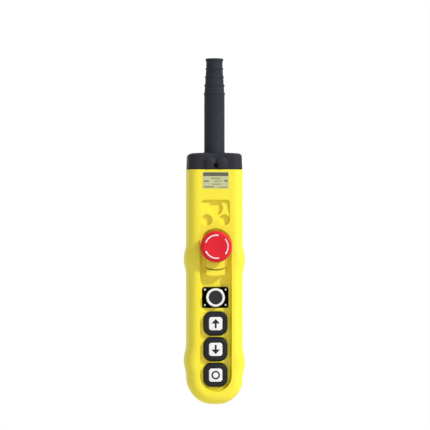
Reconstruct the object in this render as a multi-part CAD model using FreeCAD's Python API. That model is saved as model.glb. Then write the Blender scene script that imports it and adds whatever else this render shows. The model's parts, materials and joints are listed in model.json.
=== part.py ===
"""Hoist switch: a hand-held pendant of push buttons that hangs on its cable.

Millimetres. The origin is the centre of the cable boot's mouth. +Z points up along the
cable, the buttons face -Y, and +X is to the right of someone facing the buttons.
Every function named after a piece returns that piece where it sits on the object.
"""

import FreeCAD
import Part
import math
import os
from FreeCAD import Vector

# Whole housing
BOOT_LENGTH = 120.7        # boot mouth to the top of the cap
CAP_HEIGHT = 21.8
SIDE_BORDER = 14.8         # skin beside the long recess
LOWER_BORDER = 16.7        # skin below the long recess
FRONT_DEPTH = 24.0         # boot axis to the flat front
BACK_DEPTH = 36.0          # boot axis to the flat back
PARTING_DEPTH = 8.0        # boot axis to the plane where the two shells meet
WALL = 3.0
FRONT_EDGE_RADIUS = 13.0
BACK_EDGE_RADIUS = 16.0
INNER_BEVEL = 0.7          # bevel inside a rolled edge, as a share of its inner radius
END_FLAT = 6.6             # straight part of the lower end between its round corners

# Swellings of the side walls, one over each housing screw
BUMP_HEIGHT = 3.0
BUMP_HALF_LENGTH = 21.5
UPPER_BUMP_DROP = 16.5     # under the axis of the emergency stop
LOWER_BUMP_GAP = 0.5       # above the round corner of the lower end

# Gaps
SEAT_GAP = 0.1             # a piece fastened in its seat
LOOSE_GAP = 0.3            # a piece that slides or drops into place
SCREW_GAP = 0.05
EDGE_BREAK = 0.5           # small bevel on turned pieces

# Cable boot
BORE_RADIUS = 7.0
BOOT_TIP_WALL = 3.5
BOOT_BASE_WALL = 6.1
BOOT_LIP = 0.9
BOOT_LIP_HEIGHT = 2.7
FIRST_BEAD_DROP = 12.95
BEAD_PITCH = 10.75
BEAD_COUNT = 4
BEAD_HEIGHT = 0.6
BEAD_WIDTH = 2.2
LAST_BEAD_HEIGHT = 1.1
BOOT_STEP = 0.75           # growth of the radius under each bead
BOOT_FLANGE = 2.6
BOOT_FLANGE_HEIGHT = 3.0
RETAINER_EAR = 10.5        # plate under the boot's flange, beyond its sides
RETAINER_THICKNESS = 2.0
RETAINER_CORNER = 4.0
RETAINER_SCREW_INSET = 5.0
RETAINER_SCREW_RADIUS = 1.45
RETAINER_SCREW_LENGTH = 4.5
RETAINER_HEAD_RADIUS = 2.8
RETAINER_HEAD_HEIGHT = 1.8
RETAINER_BOSS_RADIUS = 4.5

# Cap over the top of the housing
CAP_INSET = 0.4            # the cap is this much smaller all round
CAP_EDGE_RADIUS = 6.0
CAP_SKIN = 3.0
NECK_HEIGHT = 9.0          # neck of the shells inside the cap
NECK_ROOT = 6.0
NECK_WALL = 2.5
CAP_GASKET_THICKNESS = 0.8
CAP_GASKET_MARGIN = 0.3
LOBE_PITCH = 15.2          # two bullet-shaped lobes on the cap's front
LOBE_HEIGHT = 16.0
LOBE_PROUD = 3.6
CAP_SCREW_RISE = 4.9       # above the cap's lower edge
CAP_SCREW_WEB = 1.0        # cap skin left under the screw's head
CAP_SCREW_RADIUS = 1.45
CAP_SCREW_HEAD_RADIUS = 2.5
CAP_SCREW_HEAD_HEIGHT = 1.6
CAP_SCREW_LENGTH = 7.0

# Screws that hold the shells together
SCREW_INSET = 6.5          # screw axis to the crest of the bump
SCREW_RADIUS = 1.95
SCREW_HEAD_RADIUS = 3.6
SCREW_HEAD_HEIGHT = 2.8
SCREW_POCKET_RADIUS = 4.2
SCREW_POCKET_WALL = 2.0
SCREW_POCKET_DEPTH = 16.0
SCREW_BOSS_RADIUS = 5.0
INSERT_RADIUS = 3.1
INSERT_LENGTH = 9.0
SCREW_REACH = 8.0          # length of screw beyond the parting plane
GROOVE_INSET = 0.8
GROOVE_WIDTH = 1.4
GROOVE_DEPTH = 1.2

# Bare rating plate
PLATE_MARGIN = 4.05        # narrower than the long recess on either side
PLATE_HEIGHT = 20.9
PLATE_DROP = 3.3           # under the cap
PLATE_THICKNESS = 0.5
PLATE_SEAT = 0.3           # depth of its seat in the front
PLATE_CORNER = 1.0

# Ramped recess with three blank wells
RAMP_GAP = 14.3            # rating plate to ramp
RAMP_LENGTH = 25.5
RAMP_MARGIN = 2.3          # narrower than the long recess on either side
RAMP_DEPTH = 4.0
RAMP_CORNER = 4.0
LARGE_WELL_DROP = 10.3     # under the ramp's upper end
LARGE_WELL_SHARE = 0.516   # radius as a share of half the ramp's width
LARGE_WELL_DEPTH = 6.0
SMALL_WELL_SHARE = 0.39
SMALL_WELL_OFFSET = 0.615  # sideways, as a share of half the ramp's width
SMALL_WELL_DEPTH = 5.0
WELL_FLOOR = 2.5

# Long button recess
RECESS_GAP = 10.8          # ramp to recess
RECESS_DEPTH = 11.0
LEDGE_DEPTH = 8.5
LEDGE_WIDTH = 3.4
LEDGE_DRAFT = 1.8          # how far the upper wall leans in
POCKET_MARGIN = 1.85       # deep pocket beyond the buttons
POCKET_CORNER = 4.0        # corner radius beyond that of the buttons
UPPER_MARGIN = 23.1        # recess's upper end to the stop's axis
LOWER_MARGIN = 5.95        # last button to the recess's lower end

# Emergency stop
STOP_HEAD_RADIUS = 20.0
STOP_RIM_RISE = 9.0        # widest ring of the head above the carrier
STOP_CREST_RISE = 5.4      # crest of the head above its widest ring
STOP_CREST_SHARE = 0.62    # radius of the crest as a share of the head's
STOP_DISH = 1.0
STOP_NECK_WALL = 2.7
STOP_TRAVEL = 4.0
MARK_SHARE = 0.725         # radius of the marks as a share of the head's
MARK_WIDTH = 1.0
MARK_PROUD = 0.15
MARK_SWEEP = 82.0
MARK_START = 78.0
SLEEVE_WALL = 2.2
SLEEVE_FLANGE_WIDTH = 3.1
SLEEVE_FLANGE = 1.5
SEAL_THICKNESS = 0.8
SEAL_WIDTH = 2.6
CARRIER_REACH = 9.0        # lower arc of the carrier beyond the head
CARRIER_BORDER = 1.0       # carrier's boss beyond the sleeve's flange
CARRIER_FLANGE = 3.0
TONGUE_MARGIN = 5.2        # tongue to the pocket's walls
CARRIER_SINK = 0.5         # carrier and platform below the front
PLATFORM_GAP = 1.6
PLATFORM_LENGTH = 6.7
STOP_NUT_WALL = 2.6
STOP_NUT_HEIGHT = 3.2

# Start button on its small plate
START_ROW = 2              # rows under the emergency stop
START_RISE = 0.5           # the plate sits this much above its row
ADAPTER_MARGIN = 0.45      # plate to the pocket's walls
ADAPTER_SHARE = 0.8073     # plate height as a share of the pitch
ADAPTER_CORNER = 3.3
ADAPTER_THICKNESS = 1.8
ADAPTER_GASKET = 0.8
ADAPTER_SCREW_INSET = 3.4
ADAPTER_SCREW_RADIUS = 1.0
ADAPTER_HEAD_RADIUS = 1.6
ADAPTER_HEAD_HEIGHT = 0.9
BEZEL_MARGIN = 1.25        # ring to the plate's edge
BEZEL_BORE_SHARE = 0.724   # bore as a share of the ring's radius
BEZEL_HEIGHT = 6.4
BEZEL_ROLL = 2.2           # height of the rounded crest
BEZEL_WEB = 1.2
START_DISC = 1.2
START_SINK = 0.8
START_TRAVEL = 2.5
START_SLEEVE_SHARE = 0.925 # sleeve as a share of the ring's bore
PLUNGER_SHARE = 0.75       # plungers as a share of the sleeve's radius
START_SLEEVE_FLANGE = 0.5
START_NUT_WALL = 2.5
START_NUT_HEIGHT = 3.0

# Three rubber push buttons
BUTTON_NAMES = ["forward", "reverse", "stop"]
BUTTON_SIZE = 30.5
BUTTON_GAP = 2.2
BUTTON_FLAT = 10.5         # straight part of each side between the round corners
BUTTON_TRAVEL = 4.0
BUTTON_LIFT = 4.6          # skirt above the recess floor
BUTTON_HEIGHT = 4.7
BUTTON_SLOPE = 2.4
LEGEND_SHARE = 0.567       # tile as a share of the button
LEGEND_CORNER = 2.8
LEGEND_DEPTH = 1.2
LEGEND_PROUD = 0.3
PLUNGER_HEAD_RIM = 2.5
PLUNGER_HEAD = 1.5
SEAL_BORE_EXTRA = 2.6
SEAL_SINK = 1.5

# Contact sets behind the recess floor
PIN_SHARE = 0.5            # pin as a share of the plunger's radius
PIN_LENGTH = 6.0
BLOCK_SPACING = 4.7        # between neighbouring blocks
BLOCK_TAPER = 2.0          # block narrower than high
BLOCK_FRONT_GAP = 4.0      # recess floor to the block
BLOCK_DEPTH = 28.0
SLOT_WIDTH = 8.0
SLOT_DEPTH = 12.0
CONTACT_GAP = 0.2          # between tip and terminal with the button pressed home
BRIDGE_THICKNESS = 1.0
BRIDGE_WIDTH = 5.0
TIP_RADIUS = 1.2
TIP_HEIGHT = 0.8
TIP_INSET = 1.4            # from the bridge's end
SPRING_BORE_SHARE = 0.867  # bore as a share of the plunger's radius
SPRING_SHARE = 0.683       # middle of the coil as a share of the plunger's radius
SPRING_WIRE = 1.0          # side of the square wire
SPRING_LENGTH = 15.0
SPRING_TURNS = 4
SPRING_FLATS = 10          # flats to each turn
TERMINAL_THICKNESS = 0.8
TERMINAL_WIDTH = 6.0
TERMINAL_SCREW_RADIUS = 1.4
TERMINAL_HEAD_RADIUS = 2.0
TERMINAL_HEAD_HEIGHT = 1.6
TERMINAL_SCREW_LENGTH = 6.0
TERMINAL_SCREW_INSET = 2.1
TERMINAL_GAP = 0.7         # screw head to the bridge

# Rail that carries the contact blocks
RAIL_MARGIN = 3.0          # rail narrower than the blocks on either side
RAIL_THICKNESS = 2.0
RAIL_OVERHANG = 15.0       # beyond the first and last block
RAIL_BOSS_RADIUS = 4.5
RAIL_SCREW_RADIUS = 1.45
RAIL_HEAD_RADIUS = 2.8
RAIL_HEAD_HEIGHT = 1.8
RAIL_SCREW_INSET = 6.0

# Cable clamp inside the top of the rear shell
CLAMP_DROP = 22.0          # clamp centre under the cap
CLAMP_HEIGHT = 12.0
CLAMP_BASE_DEPTH = 8.0
CLAMP_BAR_DEPTH = 4.0
CLAMP_GAP = 3.0            # between base and bar
CLAMP_SCREW_GAP = 7.0      # screw axis beyond the cable's bore
CLAMP_EAR = 5.0            # clamp beyond its screw axes
CLAMP_SCREW_RADIUS = 1.95
CLAMP_HEAD_RADIUS = 3.5
CLAMP_HEAD_HEIGHT = 2.4
CLAMP_SCREW_LENGTH = 13.0
CLAMP_BOSS_RADIUS = 5.0

# Sizes and places worked out from the sizes above
BUTTON_PITCH = BUTTON_SIZE + BUTTON_GAP
BUTTON_CORNER = (BUTTON_SIZE - BUTTON_FLAT) / 2
LEGEND_SIZE = BUTTON_SIZE * LEGEND_SHARE
POCKET_WIDTH = BUTTON_SIZE + 2 * POCKET_MARGIN
RECESS_WIDTH = POCKET_WIDTH + 2 * LEDGE_WIDTH
HOUSING_WIDTH = RECESS_WIDTH + 2 * SIDE_BORDER
HALF_WIDTH = HOUSING_WIDTH / 2
END_RADIUS = HALF_WIDTH - END_FLAT / 2
PLATE_WIDTH = RECESS_WIDTH - 2 * PLATE_MARGIN
RAMP_HALF_WIDTH = RECESS_WIDTH / 2 - RAMP_MARGIN

CAP_TOP = -BOOT_LENGTH
CAP_BOTTOM = CAP_TOP - CAP_HEIGHT
RAMP_TOP = CAP_BOTTOM - PLATE_DROP - PLATE_HEIGHT - RAMP_GAP
RECESS_TOP = RAMP_TOP - RAMP_LENGTH - RECESS_GAP
STOP_Z = RECESS_TOP - UPPER_MARGIN
START_Z = STOP_Z - START_ROW * BUTTON_PITCH + START_RISE
BUTTON_PLACES = {}
for row, name in enumerate(BUTTON_NAMES, START_ROW + 1):
    BUTTON_PLACES[name] = STOP_Z - row * BUTTON_PITCH
CONTACT_PLACES = dict(BUTTON_PLACES, estop=STOP_Z, start=START_Z)
LAST_Z = min(BUTTON_PLACES.values())
RECESS_BOTTOM = LAST_Z - BUTTON_SIZE / 2 - LOWER_MARGIN
RECESS_LENGTH = RECESS_TOP - RECESS_BOTTOM
RECESS_MIDDLE = (RECESS_TOP + RECESS_BOTTOM) / 2
HOUSING_BOTTOM = RECESS_BOTTOM - LOWER_BORDER
HOUSING_LENGTH = CAP_BOTTOM - HOUSING_BOTTOM

FRONT = -FRONT_DEPTH
BACK = BACK_DEPTH
PARTING = PARTING_DEPTH
FLOOR = FRONT + RECESS_DEPTH
FLOOR_BACK = FLOOR + WALL
LOWER_BUMP_Z = HOUSING_BOTTOM + END_RADIUS + LOWER_BUMP_GAP + BUMP_HALF_LENGTH
BUMP_PLACES = [STOP_Z - UPPER_BUMP_DROP, LOWER_BUMP_Z]
BUMP_RADIUS = (BUMP_HALF_LENGTH ** 2 + BUMP_HEIGHT ** 2) / (4 * BUMP_HEIGHT)
SCREW_X = HALF_WIDTH + BUMP_HEIGHT - SCREW_INSET
SCREW_SEAT = BACK - SCREW_POCKET_DEPTH

BOOT_TIP_RADIUS = BORE_RADIUS + BOOT_TIP_WALL
BOOT_BASE_RADIUS = BORE_RADIUS + BOOT_BASE_WALL
BOOT_FLANGE_RADIUS = BOOT_BASE_RADIUS + BOOT_FLANGE
CAP_UNDERSIDE = CAP_TOP - CAP_SKIN
RETAINER_TOP = CAP_UNDERSIDE - BOOT_FLANGE_HEIGHT
RETAINER_HALF_WIDTH = BOOT_FLANGE_RADIUS + RETAINER_EAR
RETAINER_SCREW_OFFSET = RETAINER_HALF_WIDTH - RETAINER_SCREW_INSET
GASKET_TOP = CAP_BOTTOM + CAP_GASKET_THICKNESS
NECK_TOP = CAP_BOTTOM + NECK_HEIGHT
NECK_INSET = CAP_INSET + CAP_SKIN + LOOSE_GAP
CLAMP_Z = CAP_BOTTOM - CLAMP_DROP
CLAMP_BASE_FRONT = CLAMP_GAP / 2
CLAMP_BAR_BACK = -CLAMP_GAP / 2
CLAMP_SCREW_OFFSET = BORE_RADIUS + CLAMP_SCREW_GAP
CLAMP_HALF_WIDTH = CLAMP_SCREW_OFFSET + CLAMP_EAR

ADAPTER_WIDTH = POCKET_WIDTH - 2 * ADAPTER_MARGIN
ADAPTER_HEIGHT = BUTTON_PITCH * ADAPTER_SHARE
ADAPTER_SCREW_X = ADAPTER_WIDTH / 2 - ADAPTER_SCREW_INSET
ADAPTER_SCREW_Z = ADAPTER_HEIGHT / 2 - ADAPTER_SCREW_INSET
BEZEL_RADIUS = ADAPTER_HEIGHT / 2 - BEZEL_MARGIN
BEZEL_BORE = BEZEL_RADIUS * BEZEL_BORE_SHARE
BEZEL_WALL = BEZEL_RADIUS - BEZEL_BORE
START_SLEEVE_RADIUS = BEZEL_BORE * START_SLEEVE_SHARE
PLUNGER_RADIUS = START_SLEEVE_RADIUS * PLUNGER_SHARE
PLUNGER_HEAD_RADIUS = PLUNGER_RADIUS + PLUNGER_HEAD_RIM
START_NUT_FLATS = 2 * (START_SLEEVE_RADIUS + START_NUT_WALL)
STOP_NECK_RADIUS = PLUNGER_RADIUS + STOP_NECK_WALL
STOP_CREST_RADIUS = STOP_HEAD_RADIUS * STOP_CREST_SHARE
MARK_RADIUS = STOP_HEAD_RADIUS * MARK_SHARE
SLEEVE_RADIUS = STOP_NECK_RADIUS + SLEEVE_WALL
SLEEVE_FLANGE_RADIUS = SLEEVE_RADIUS + SLEEVE_FLANGE_WIDTH
STOP_NUT_FLATS = 2 * (SLEEVE_RADIUS + STOP_NUT_WALL)
CARRIER_RADIUS = STOP_HEAD_RADIUS + CARRIER_REACH
CARRIER_BOSS_RADIUS = SLEEVE_FLANGE_RADIUS + CARRIER_BORDER
TONGUE_WIDTH = POCKET_WIDTH - 2 * TONGUE_MARGIN
PLATFORM_FACE = FRONT + CARRIER_SINK
SLEEVE_SEAT = PLATFORM_FACE - SEAL_THICKNESS
ADAPTER_BACK = FLOOR - ADAPTER_GASKET
ADAPTER_FRONT = ADAPTER_BACK - ADAPTER_THICKNESS
BEZEL_FRONT = ADAPTER_FRONT - BEZEL_HEIGHT
BUTTON_SKIRT = FLOOR - BUTTON_LIFT
BUTTON_FRONT = BUTTON_SKIRT - BUTTON_HEIGHT

BLOCK_HEIGHT = BUTTON_PITCH - BLOCK_SPACING
BLOCK_WIDTH = BLOCK_HEIGHT - BLOCK_TAPER
BLOCK_FRONT = FLOOR_BACK + BLOCK_FRONT_GAP
BLOCK_BACK = BLOCK_FRONT + BLOCK_DEPTH
SLOT_FLOOR = BLOCK_FRONT + SLOT_DEPTH
PIN_RADIUS = PLUNGER_RADIUS * PIN_SHARE
SPRING_BORE = PLUNGER_RADIUS * SPRING_BORE_SHARE
SPRING_RADIUS = PLUNGER_RADIUS * SPRING_SHARE
TERMINAL_ROOM = TERMINAL_SCREW_INSET + TERMINAL_HEAD_RADIUS + TERMINAL_GAP
BRIDGE_HALF_LENGTH = BLOCK_HEIGHT / 2 - TERMINAL_ROOM
TIP_OFFSET = BRIDGE_HALF_LENGTH - TIP_INSET
CONTACT_STROKE = max(BUTTON_TRAVEL, STOP_TRAVEL, START_TRAVEL) + CONTACT_GAP
BRIDGE_FRONT = SLOT_FLOOR - TERMINAL_THICKNESS - CONTACT_STROKE - TIP_HEIGHT - BRIDGE_THICKNESS
SPRING_SEAT = BRIDGE_FRONT + BRIDGE_THICKNESS + SPRING_LENGTH
RAIL_HALF_WIDTH = BLOCK_WIDTH / 2 - RAIL_MARGIN
RAIL_BACK = BLOCK_BACK + RAIL_THICKNESS
RAIL_TOP = STOP_Z + BLOCK_HEIGHT / 2 + RAIL_OVERHANG
RAIL_BOTTOM = LAST_Z - BLOCK_HEIGHT / 2 - RAIL_OVERHANG
RAIL_SCREW_PLACES = [
    RAIL_TOP - RAIL_SCREW_INSET,
    (STOP_Z + START_Z) / 2,
    RAIL_BOTTOM + RAIL_SCREW_INSET,
]
OVERSHOOT = 1.0            # how far a cutting shape runs past the face that it opens


# Simple solids

def box(x0, x1, y0, y1, z0, z1):
    return Part.makeBox(x1 - x0, y1 - y0, z1 - z0, Vector(x0, y0, z0))


def rod_y(x, z, y0, y1, radius):
    return Part.makeCylinder(radius, y1 - y0, Vector(x, y0, z), Vector(0, 1, 0))


def rod_z(z0, z1, radius):
    return Part.makeCylinder(radius, z1 - z0, Vector(0, 0, z0), Vector(0, 0, 1))


def post_z(x, z0, z1, radius):
    return Part.makeCylinder(radius, z1 - z0, Vector(x, 0, z0), Vector(0, 0, 1))


def ring_y(x, z, y0, y1, inner, outer):
    return rod_y(x, z, y0, y1, outer).cut(rod_y(x, z, y0, y1, inner))


def union(shapes):
    first = shapes[0]
    if len(shapes) == 1:
        return first
    return first.fuse(shapes[1:]).removeSplitter()


def arc_about(centre, start, end):
    """Arc of less than half a turn from start to end round centre."""
    outward = (start - centre) + (end - centre)
    outward.normalize()
    middle = centre + outward * (start - centre).Length
    return Part.Arc(start, middle, end).toShape()


def line(start, end):
    return Part.LineSegment(start, end).toShape()


def rounded_rect_xz(x, z, width, height, corner, y):
    """Wire of a rectangle with round corners, facing -Y, at depth y."""
    a = width / 2
    b = height / 2
    edges = []
    for sx, sz in [(1, 1), (1, -1), (-1, -1), (-1, 1)]:
        centre = Vector(x + sx * (a - corner), y, z + sz * (b - corner))
        side = centre + Vector(sx * corner, 0, 0)
        end = centre + Vector(0, 0, sz * corner)
        edges.append(arc_about(centre, side, end))
    if a > corner:
        edges.append(line(Vector(x - a + corner, y, z + b), Vector(x + a - corner, y, z + b)))
        edges.append(line(Vector(x - a + corner, y, z - b), Vector(x + a - corner, y, z - b)))
    if b > corner:
        edges.append(line(Vector(x - a, y, z - b + corner), Vector(x - a, y, z + b - corner)))
        edges.append(line(Vector(x + a, y, z - b + corner), Vector(x + a, y, z + b - corner)))
    return Part.Wire(Part.__sortEdges__(edges))


def slab(wire, depth):
    """Solid from a wire that faces -Y, extruded towards the back by depth."""
    return Part.Face(wire).extrude(Vector(0, depth, 0))


def turned_y(profile, x, z):
    """Solid turned round an axis along Y; profile is a list of (radius, y)."""
    points = [Vector(x + r, y, z) for r, y in profile]
    wire = Part.makePolygon(points + [points[0]])
    return Part.Face(wire).revolve(Vector(x, 0, z), Vector(0, 1, 0), 360)


def turned_z(profile):
    """Solid turned round the boot's axis; profile is a list of (radius, z)."""
    points = [Vector(r, 0, z) for r, z in profile]
    wire = Part.makePolygon(points + [points[0]])
    return Part.Face(wire).revolve(Vector(0, 0, 0), Vector(0, 0, 1), 360)


def hexagon_nut(x, z, y0, y1, flats, bore):
    corner = flats / math.sqrt(3)
    points = []
    for k in range(7):
        angle = math.radians(60 * k)
        points.append(Vector(x + corner * math.cos(angle), y0, z + corner * math.sin(angle)))
    nut = slab(Part.makePolygon(points), y1 - y0)
    return nut.cut(rod_y(x, z, y0 - OVERSHOOT, y1 + OVERSHOOT, bore))


def flat_edges(shape, y):
    """Edges that lie in the plane at depth y."""
    found = []
    for edge in shape.Edges:
        limits = edge.BoundBox
        if abs(limits.YMin - y) < 1e-4 and abs(limits.YMax - y) < 1e-4:
            found.append(edge)
    return found


# Forms that the housing pieces share

def bump_edges(side, place, inset, y):
    """Three tangent arcs over one swelling of a side wall."""
    crest_centre = Vector(side * (HALF_WIDTH + BUMP_HEIGHT - BUMP_RADIUS), y, place)
    edges = []
    changes = []
    for step in (1, -1):
        foot_centre = Vector(side * (HALF_WIDTH + BUMP_RADIUS), y, place + step * BUMP_HALF_LENGTH)
        foot = foot_centre - Vector(side * (BUMP_RADIUS + inset), 0, 0)
        share = (BUMP_RADIUS + inset) / (2 * BUMP_RADIUS)
        change = foot_centre + (crest_centre - foot_centre) * share
        edges.append(arc_about(foot_centre, foot, change))
        changes.append(change)
    edges.append(arc_about(crest_centre, changes[0], changes[1]))
    return edges


def outline_wire(inset, y, top, bumps=BUMP_PLACES):
    """Front view of the housing, drawn this much inside its skin."""
    edge = HALF_WIDTH - inset
    corner = END_RADIUS - inset
    bottom = HOUSING_BOTTOM + inset
    corner_z = bottom + corner
    corner_x = edge - corner
    edges = [
        line(Vector(-edge, y, top), Vector(edge, y, top)),
        line(Vector(-corner_x, y, bottom), Vector(corner_x, y, bottom)),
    ]
    for side in (1, -1):
        x = side * edge
        level = top
        for place in bumps:
            edges.append(line(Vector(x, y, level), Vector(x, y, place + BUMP_HALF_LENGTH)))
            edges.extend(bump_edges(side, place, inset, y))
            level = place - BUMP_HALF_LENGTH
        edges.append(line(Vector(x, y, level), Vector(x, y, corner_z)))
        centre = Vector(side * corner_x, y, corner_z)
        edges.append(arc_about(centre, Vector(x, y, corner_z), Vector(side * corner_x, y, bottom)))
    return Part.Wire(Part.__sortEdges__(edges))


def side_edges(block, y, top):
    """Edges of a block's front or back face, without the one along its open top."""
    return [e for e in flat_edges(block, y) if abs(e.CenterOfMass.z - top) > 1e-4]


def housing_block():
    """The housing's outer form, with rolled front and back edges."""
    block = slab(outline_wire(0, FRONT, CAP_BOTTOM), BACK - FRONT)
    block = block.makeFillet(FRONT_EDGE_RADIUS, side_edges(block, FRONT, CAP_BOTTOM))
    return block.makeFillet(BACK_EDGE_RADIUS, side_edges(block, BACK, CAP_BOTTOM))


def housing_hollow():
    """The space inside, one wall in, with straight sides and bevelled edges."""
    front = FRONT + WALL
    back = BACK - WALL
    top = CAP_BOTTOM + OVERSHOOT
    block = slab(outline_wire(WALL, front, top, bumps=[]), back - front)
    for y, radius in ((front, FRONT_EDGE_RADIUS), (back, BACK_EDGE_RADIUS)):
        block = block.makeChamfer((radius - WALL) * INNER_BEVEL, side_edges(block, y, top))
    return block


def plan_wire(inset, z):
    """Section of the housing across its length, drawn this much inside its skin."""
    x = HALF_WIDTH - inset
    front = FRONT + inset
    back = BACK - inset
    edges = []
    corners = [(front, 1, FRONT_EDGE_RADIUS - inset), (back, -1, BACK_EDGE_RADIUS - inset)]
    for y, inward, radius in corners:
        for side in (1, -1):
            centre = Vector(side * (x - radius), y + inward * radius, z)
            flank = centre + Vector(side * radius, 0, 0)
            face = centre - Vector(0, inward * radius, 0)
            edges.append(arc_about(centre, flank, face))
        edges.append(line(Vector(-x + radius, y, z), Vector(x - radius, y, z)))
    for side in (1, -1):
        low = front + FRONT_EDGE_RADIUS - inset
        high = back - BACK_EDGE_RADIUS + inset
        edges.append(line(Vector(side * x, low, z), Vector(side * x, high, z)))
    return Part.Wire(Part.__sortEdges__(edges))


def plan_block(inset, z0, z1):
    return Part.Face(plan_wire(inset, z0)).extrude(Vector(0, 0, z1 - z0))


def plan_ring(outer, inner, z0, z1):
    return plan_block(outer, z0, z1).cut(plan_block(inner, z0, z1))


def half_space(front_half):
    """A block that holds everything in front of the parting plane, or behind it."""
    reach = HOUSING_LENGTH + HOUSING_WIDTH
    y0, y1 = (-reach, PARTING) if front_half else (PARTING, reach)
    return box(-reach, reach, y0, y1, HOUSING_BOTTOM - reach, reach)


def neck(front_half):
    """Half of the neck that stands up inside the cap and carries its screws."""
    root = plan_ring(WALL - OVERSHOOT, NECK_INSET + NECK_WALL, CAP_BOTTOM - NECK_ROOT, CAP_BOTTOM)
    stem = plan_ring(NECK_INSET, NECK_INSET + NECK_WALL, CAP_BOTTOM, NECK_TOP)
    return root.fuse(stem).common(half_space(front_half))


def screw_places():
    return [(side * SCREW_X, place) for side in (1, -1) for place in BUMP_PLACES]


def seam_ring(extra):
    """Cord-shaped ring that follows the seam between the shells, open at the neck."""
    outer = outline_wire(GROOVE_INSET - extra, PARTING, CAP_BOTTOM + OVERSHOOT)
    inner = outline_wire(GROOVE_INSET + GROOVE_WIDTH + extra, PARTING, CAP_BOTTOM + 2 * OVERSHOOT)
    ring = slab(outer, GROOVE_DEPTH).cut(slab(inner, GROOVE_DEPTH))
    reach = HOUSING_WIDTH
    keep = box(-reach, reach, PARTING, BACK, HOUSING_BOTTOM - reach, CAP_BOTTOM - NECK_ROOT - WALL)
    return ring.common(keep)


# Front of the housing

def recess_wire(lean, y):
    """Outline of the long recess, this much inside its rim."""
    width = RECESS_WIDTH - 2 * lean
    return rounded_rect_xz(0, RECESS_MIDDLE, width, RECESS_LENGTH - 2 * lean, width / 2 - 0.01, y)


def pocket_wire(extra, y):
    """Outline of the deep part of the recess, this much outside its wall."""
    width = POCKET_WIDTH + 2 * extra
    height = RECESS_LENGTH - 2 * LEDGE_WIDTH + 2 * extra
    return rounded_rect_xz(0, RECESS_MIDDLE, width, height, BUTTON_CORNER + POCKET_CORNER + extra, y)


def recess_space():
    """The space of the long recess: a leaning upper wall, a ledge and a deep pocket."""
    lean = LEDGE_DRAFT / LEDGE_DEPTH * OVERSHOOT
    rim = recess_wire(-lean, FRONT - OVERSHOOT)
    foot = recess_wire(LEDGE_DRAFT, FRONT + LEDGE_DEPTH)
    upper = Part.makeLoft([rim, foot], True, True)
    lower = slab(pocket_wire(0, FRONT + LEDGE_DEPTH - OVERSHOOT), RECESS_DEPTH - LEDGE_DEPTH + OVERSHOOT)
    return upper.fuse(lower)


def recess_backing():
    """Material behind the recess, one wall thick."""
    ledge = slab(recess_wire(-WALL, FRONT), LEDGE_DEPTH + WALL)
    floor = slab(pocket_wire(WALL, FRONT), RECESS_DEPTH + WALL)
    return ledge.fuse(floor)


def platform():
    """Raised band under the emergency stop's carrier, between two arcs round its axis."""
    inner = CARRIER_RADIUS + PLATFORM_GAP
    band = ring_y(0, STOP_Z, PLATFORM_FACE, FLOOR + OVERSHOOT, inner, inner + PLATFORM_LENGTH)
    reach = inner + PLATFORM_LENGTH
    half = TONGUE_WIDTH / 2
    return band.common(box(-half, half, FRONT, FLOOR_BACK, STOP_Z - reach, STOP_Z))


def ramp_space():
    """Wedge that is deepest at its upper end and runs out flush at its lower end."""
    top = RAMP_TOP
    bottom = top - RAMP_LENGTH
    slope = RAMP_DEPTH / RAMP_LENGTH
    points = [
        Vector(-RAMP_HALF_WIDTH, FRONT + RAMP_DEPTH, top),
        Vector(-RAMP_HALF_WIDTH, FRONT - OVERSHOOT, top),
        Vector(-RAMP_HALF_WIDTH, FRONT - OVERSHOOT, bottom - OVERSHOOT / slope),
    ]
    wedge = Part.Face(Part.makePolygon(points + [points[0]]))
    wedge = wedge.extrude(Vector(2 * RAMP_HALF_WIDTH, 0, 0))
    height = RAMP_LENGTH + 2 * RAMP_CORNER + OVERSHOOT / slope
    frame = rounded_rect_xz(0, top - height / 2, 2 * RAMP_HALF_WIDTH, height, RAMP_CORNER, FRONT - OVERSHOOT)
    return wedge.common(slab(frame, RAMP_DEPTH + 2 * OVERSHOOT))


def well_places():
    """Blank wells over unused switch places: x, z, radius and depth."""
    large = RAMP_HALF_WIDTH * LARGE_WELL_SHARE
    small = RAMP_HALF_WIDTH * SMALL_WELL_SHARE
    wells = [(0, RAMP_TOP - LARGE_WELL_DROP, large, LARGE_WELL_DEPTH)]
    for side in (1, -1):
        x = side * RAMP_HALF_WIDTH * SMALL_WELL_OFFSET
        wells.append((x, RAMP_TOP - RAMP_LENGTH, small, SMALL_WELL_DEPTH))
    return wells


def ramp_backing():
    """Material behind the ramp and its wells."""
    top = RAMP_TOP + WELL_FLOOR
    half = RAMP_HALF_WIDTH + WELL_FLOOR
    shapes = [box(-half, half, FRONT, FRONT + RAMP_DEPTH + WELL_FLOOR, top - RAMP_LENGTH, top)]
    for x, z, radius, depth in well_places():
        shapes.append(rod_y(x, z, FRONT, FRONT + depth + WELL_FLOOR, radius + WELL_FLOOR))
    return union(shapes)


def floor_holes():
    """Holes through the recess floor for sleeves, plungers, seals and small screws."""
    back = FLOOR_BACK + OVERSHOOT
    holes = [
        rod_y(0, STOP_Z, FLOOR - OVERSHOOT, back, SLEEVE_RADIUS + LOOSE_GAP),
        rod_y(0, START_Z, FLOOR - OVERSHOOT, back, START_SLEEVE_RADIUS + LOOSE_GAP),
    ]
    for z in BUTTON_PLACES.values():
        holes.append(rod_y(0, z, FLOOR - OVERSHOOT, back, PLUNGER_RADIUS + LOOSE_GAP))
        seat = PLUNGER_RADIUS + SEAL_BORE_EXTRA + SEAT_GAP
        holes.append(rod_y(0, z, FLOOR - OVERSHOOT, FLOOR + SEAL_SINK, seat))
    for x, z in adapter_screw_places():
        holes.append(rod_y(x, z, FLOOR - OVERSHOOT, back, ADAPTER_SCREW_RADIUS + SCREW_GAP))
    return holes


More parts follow.
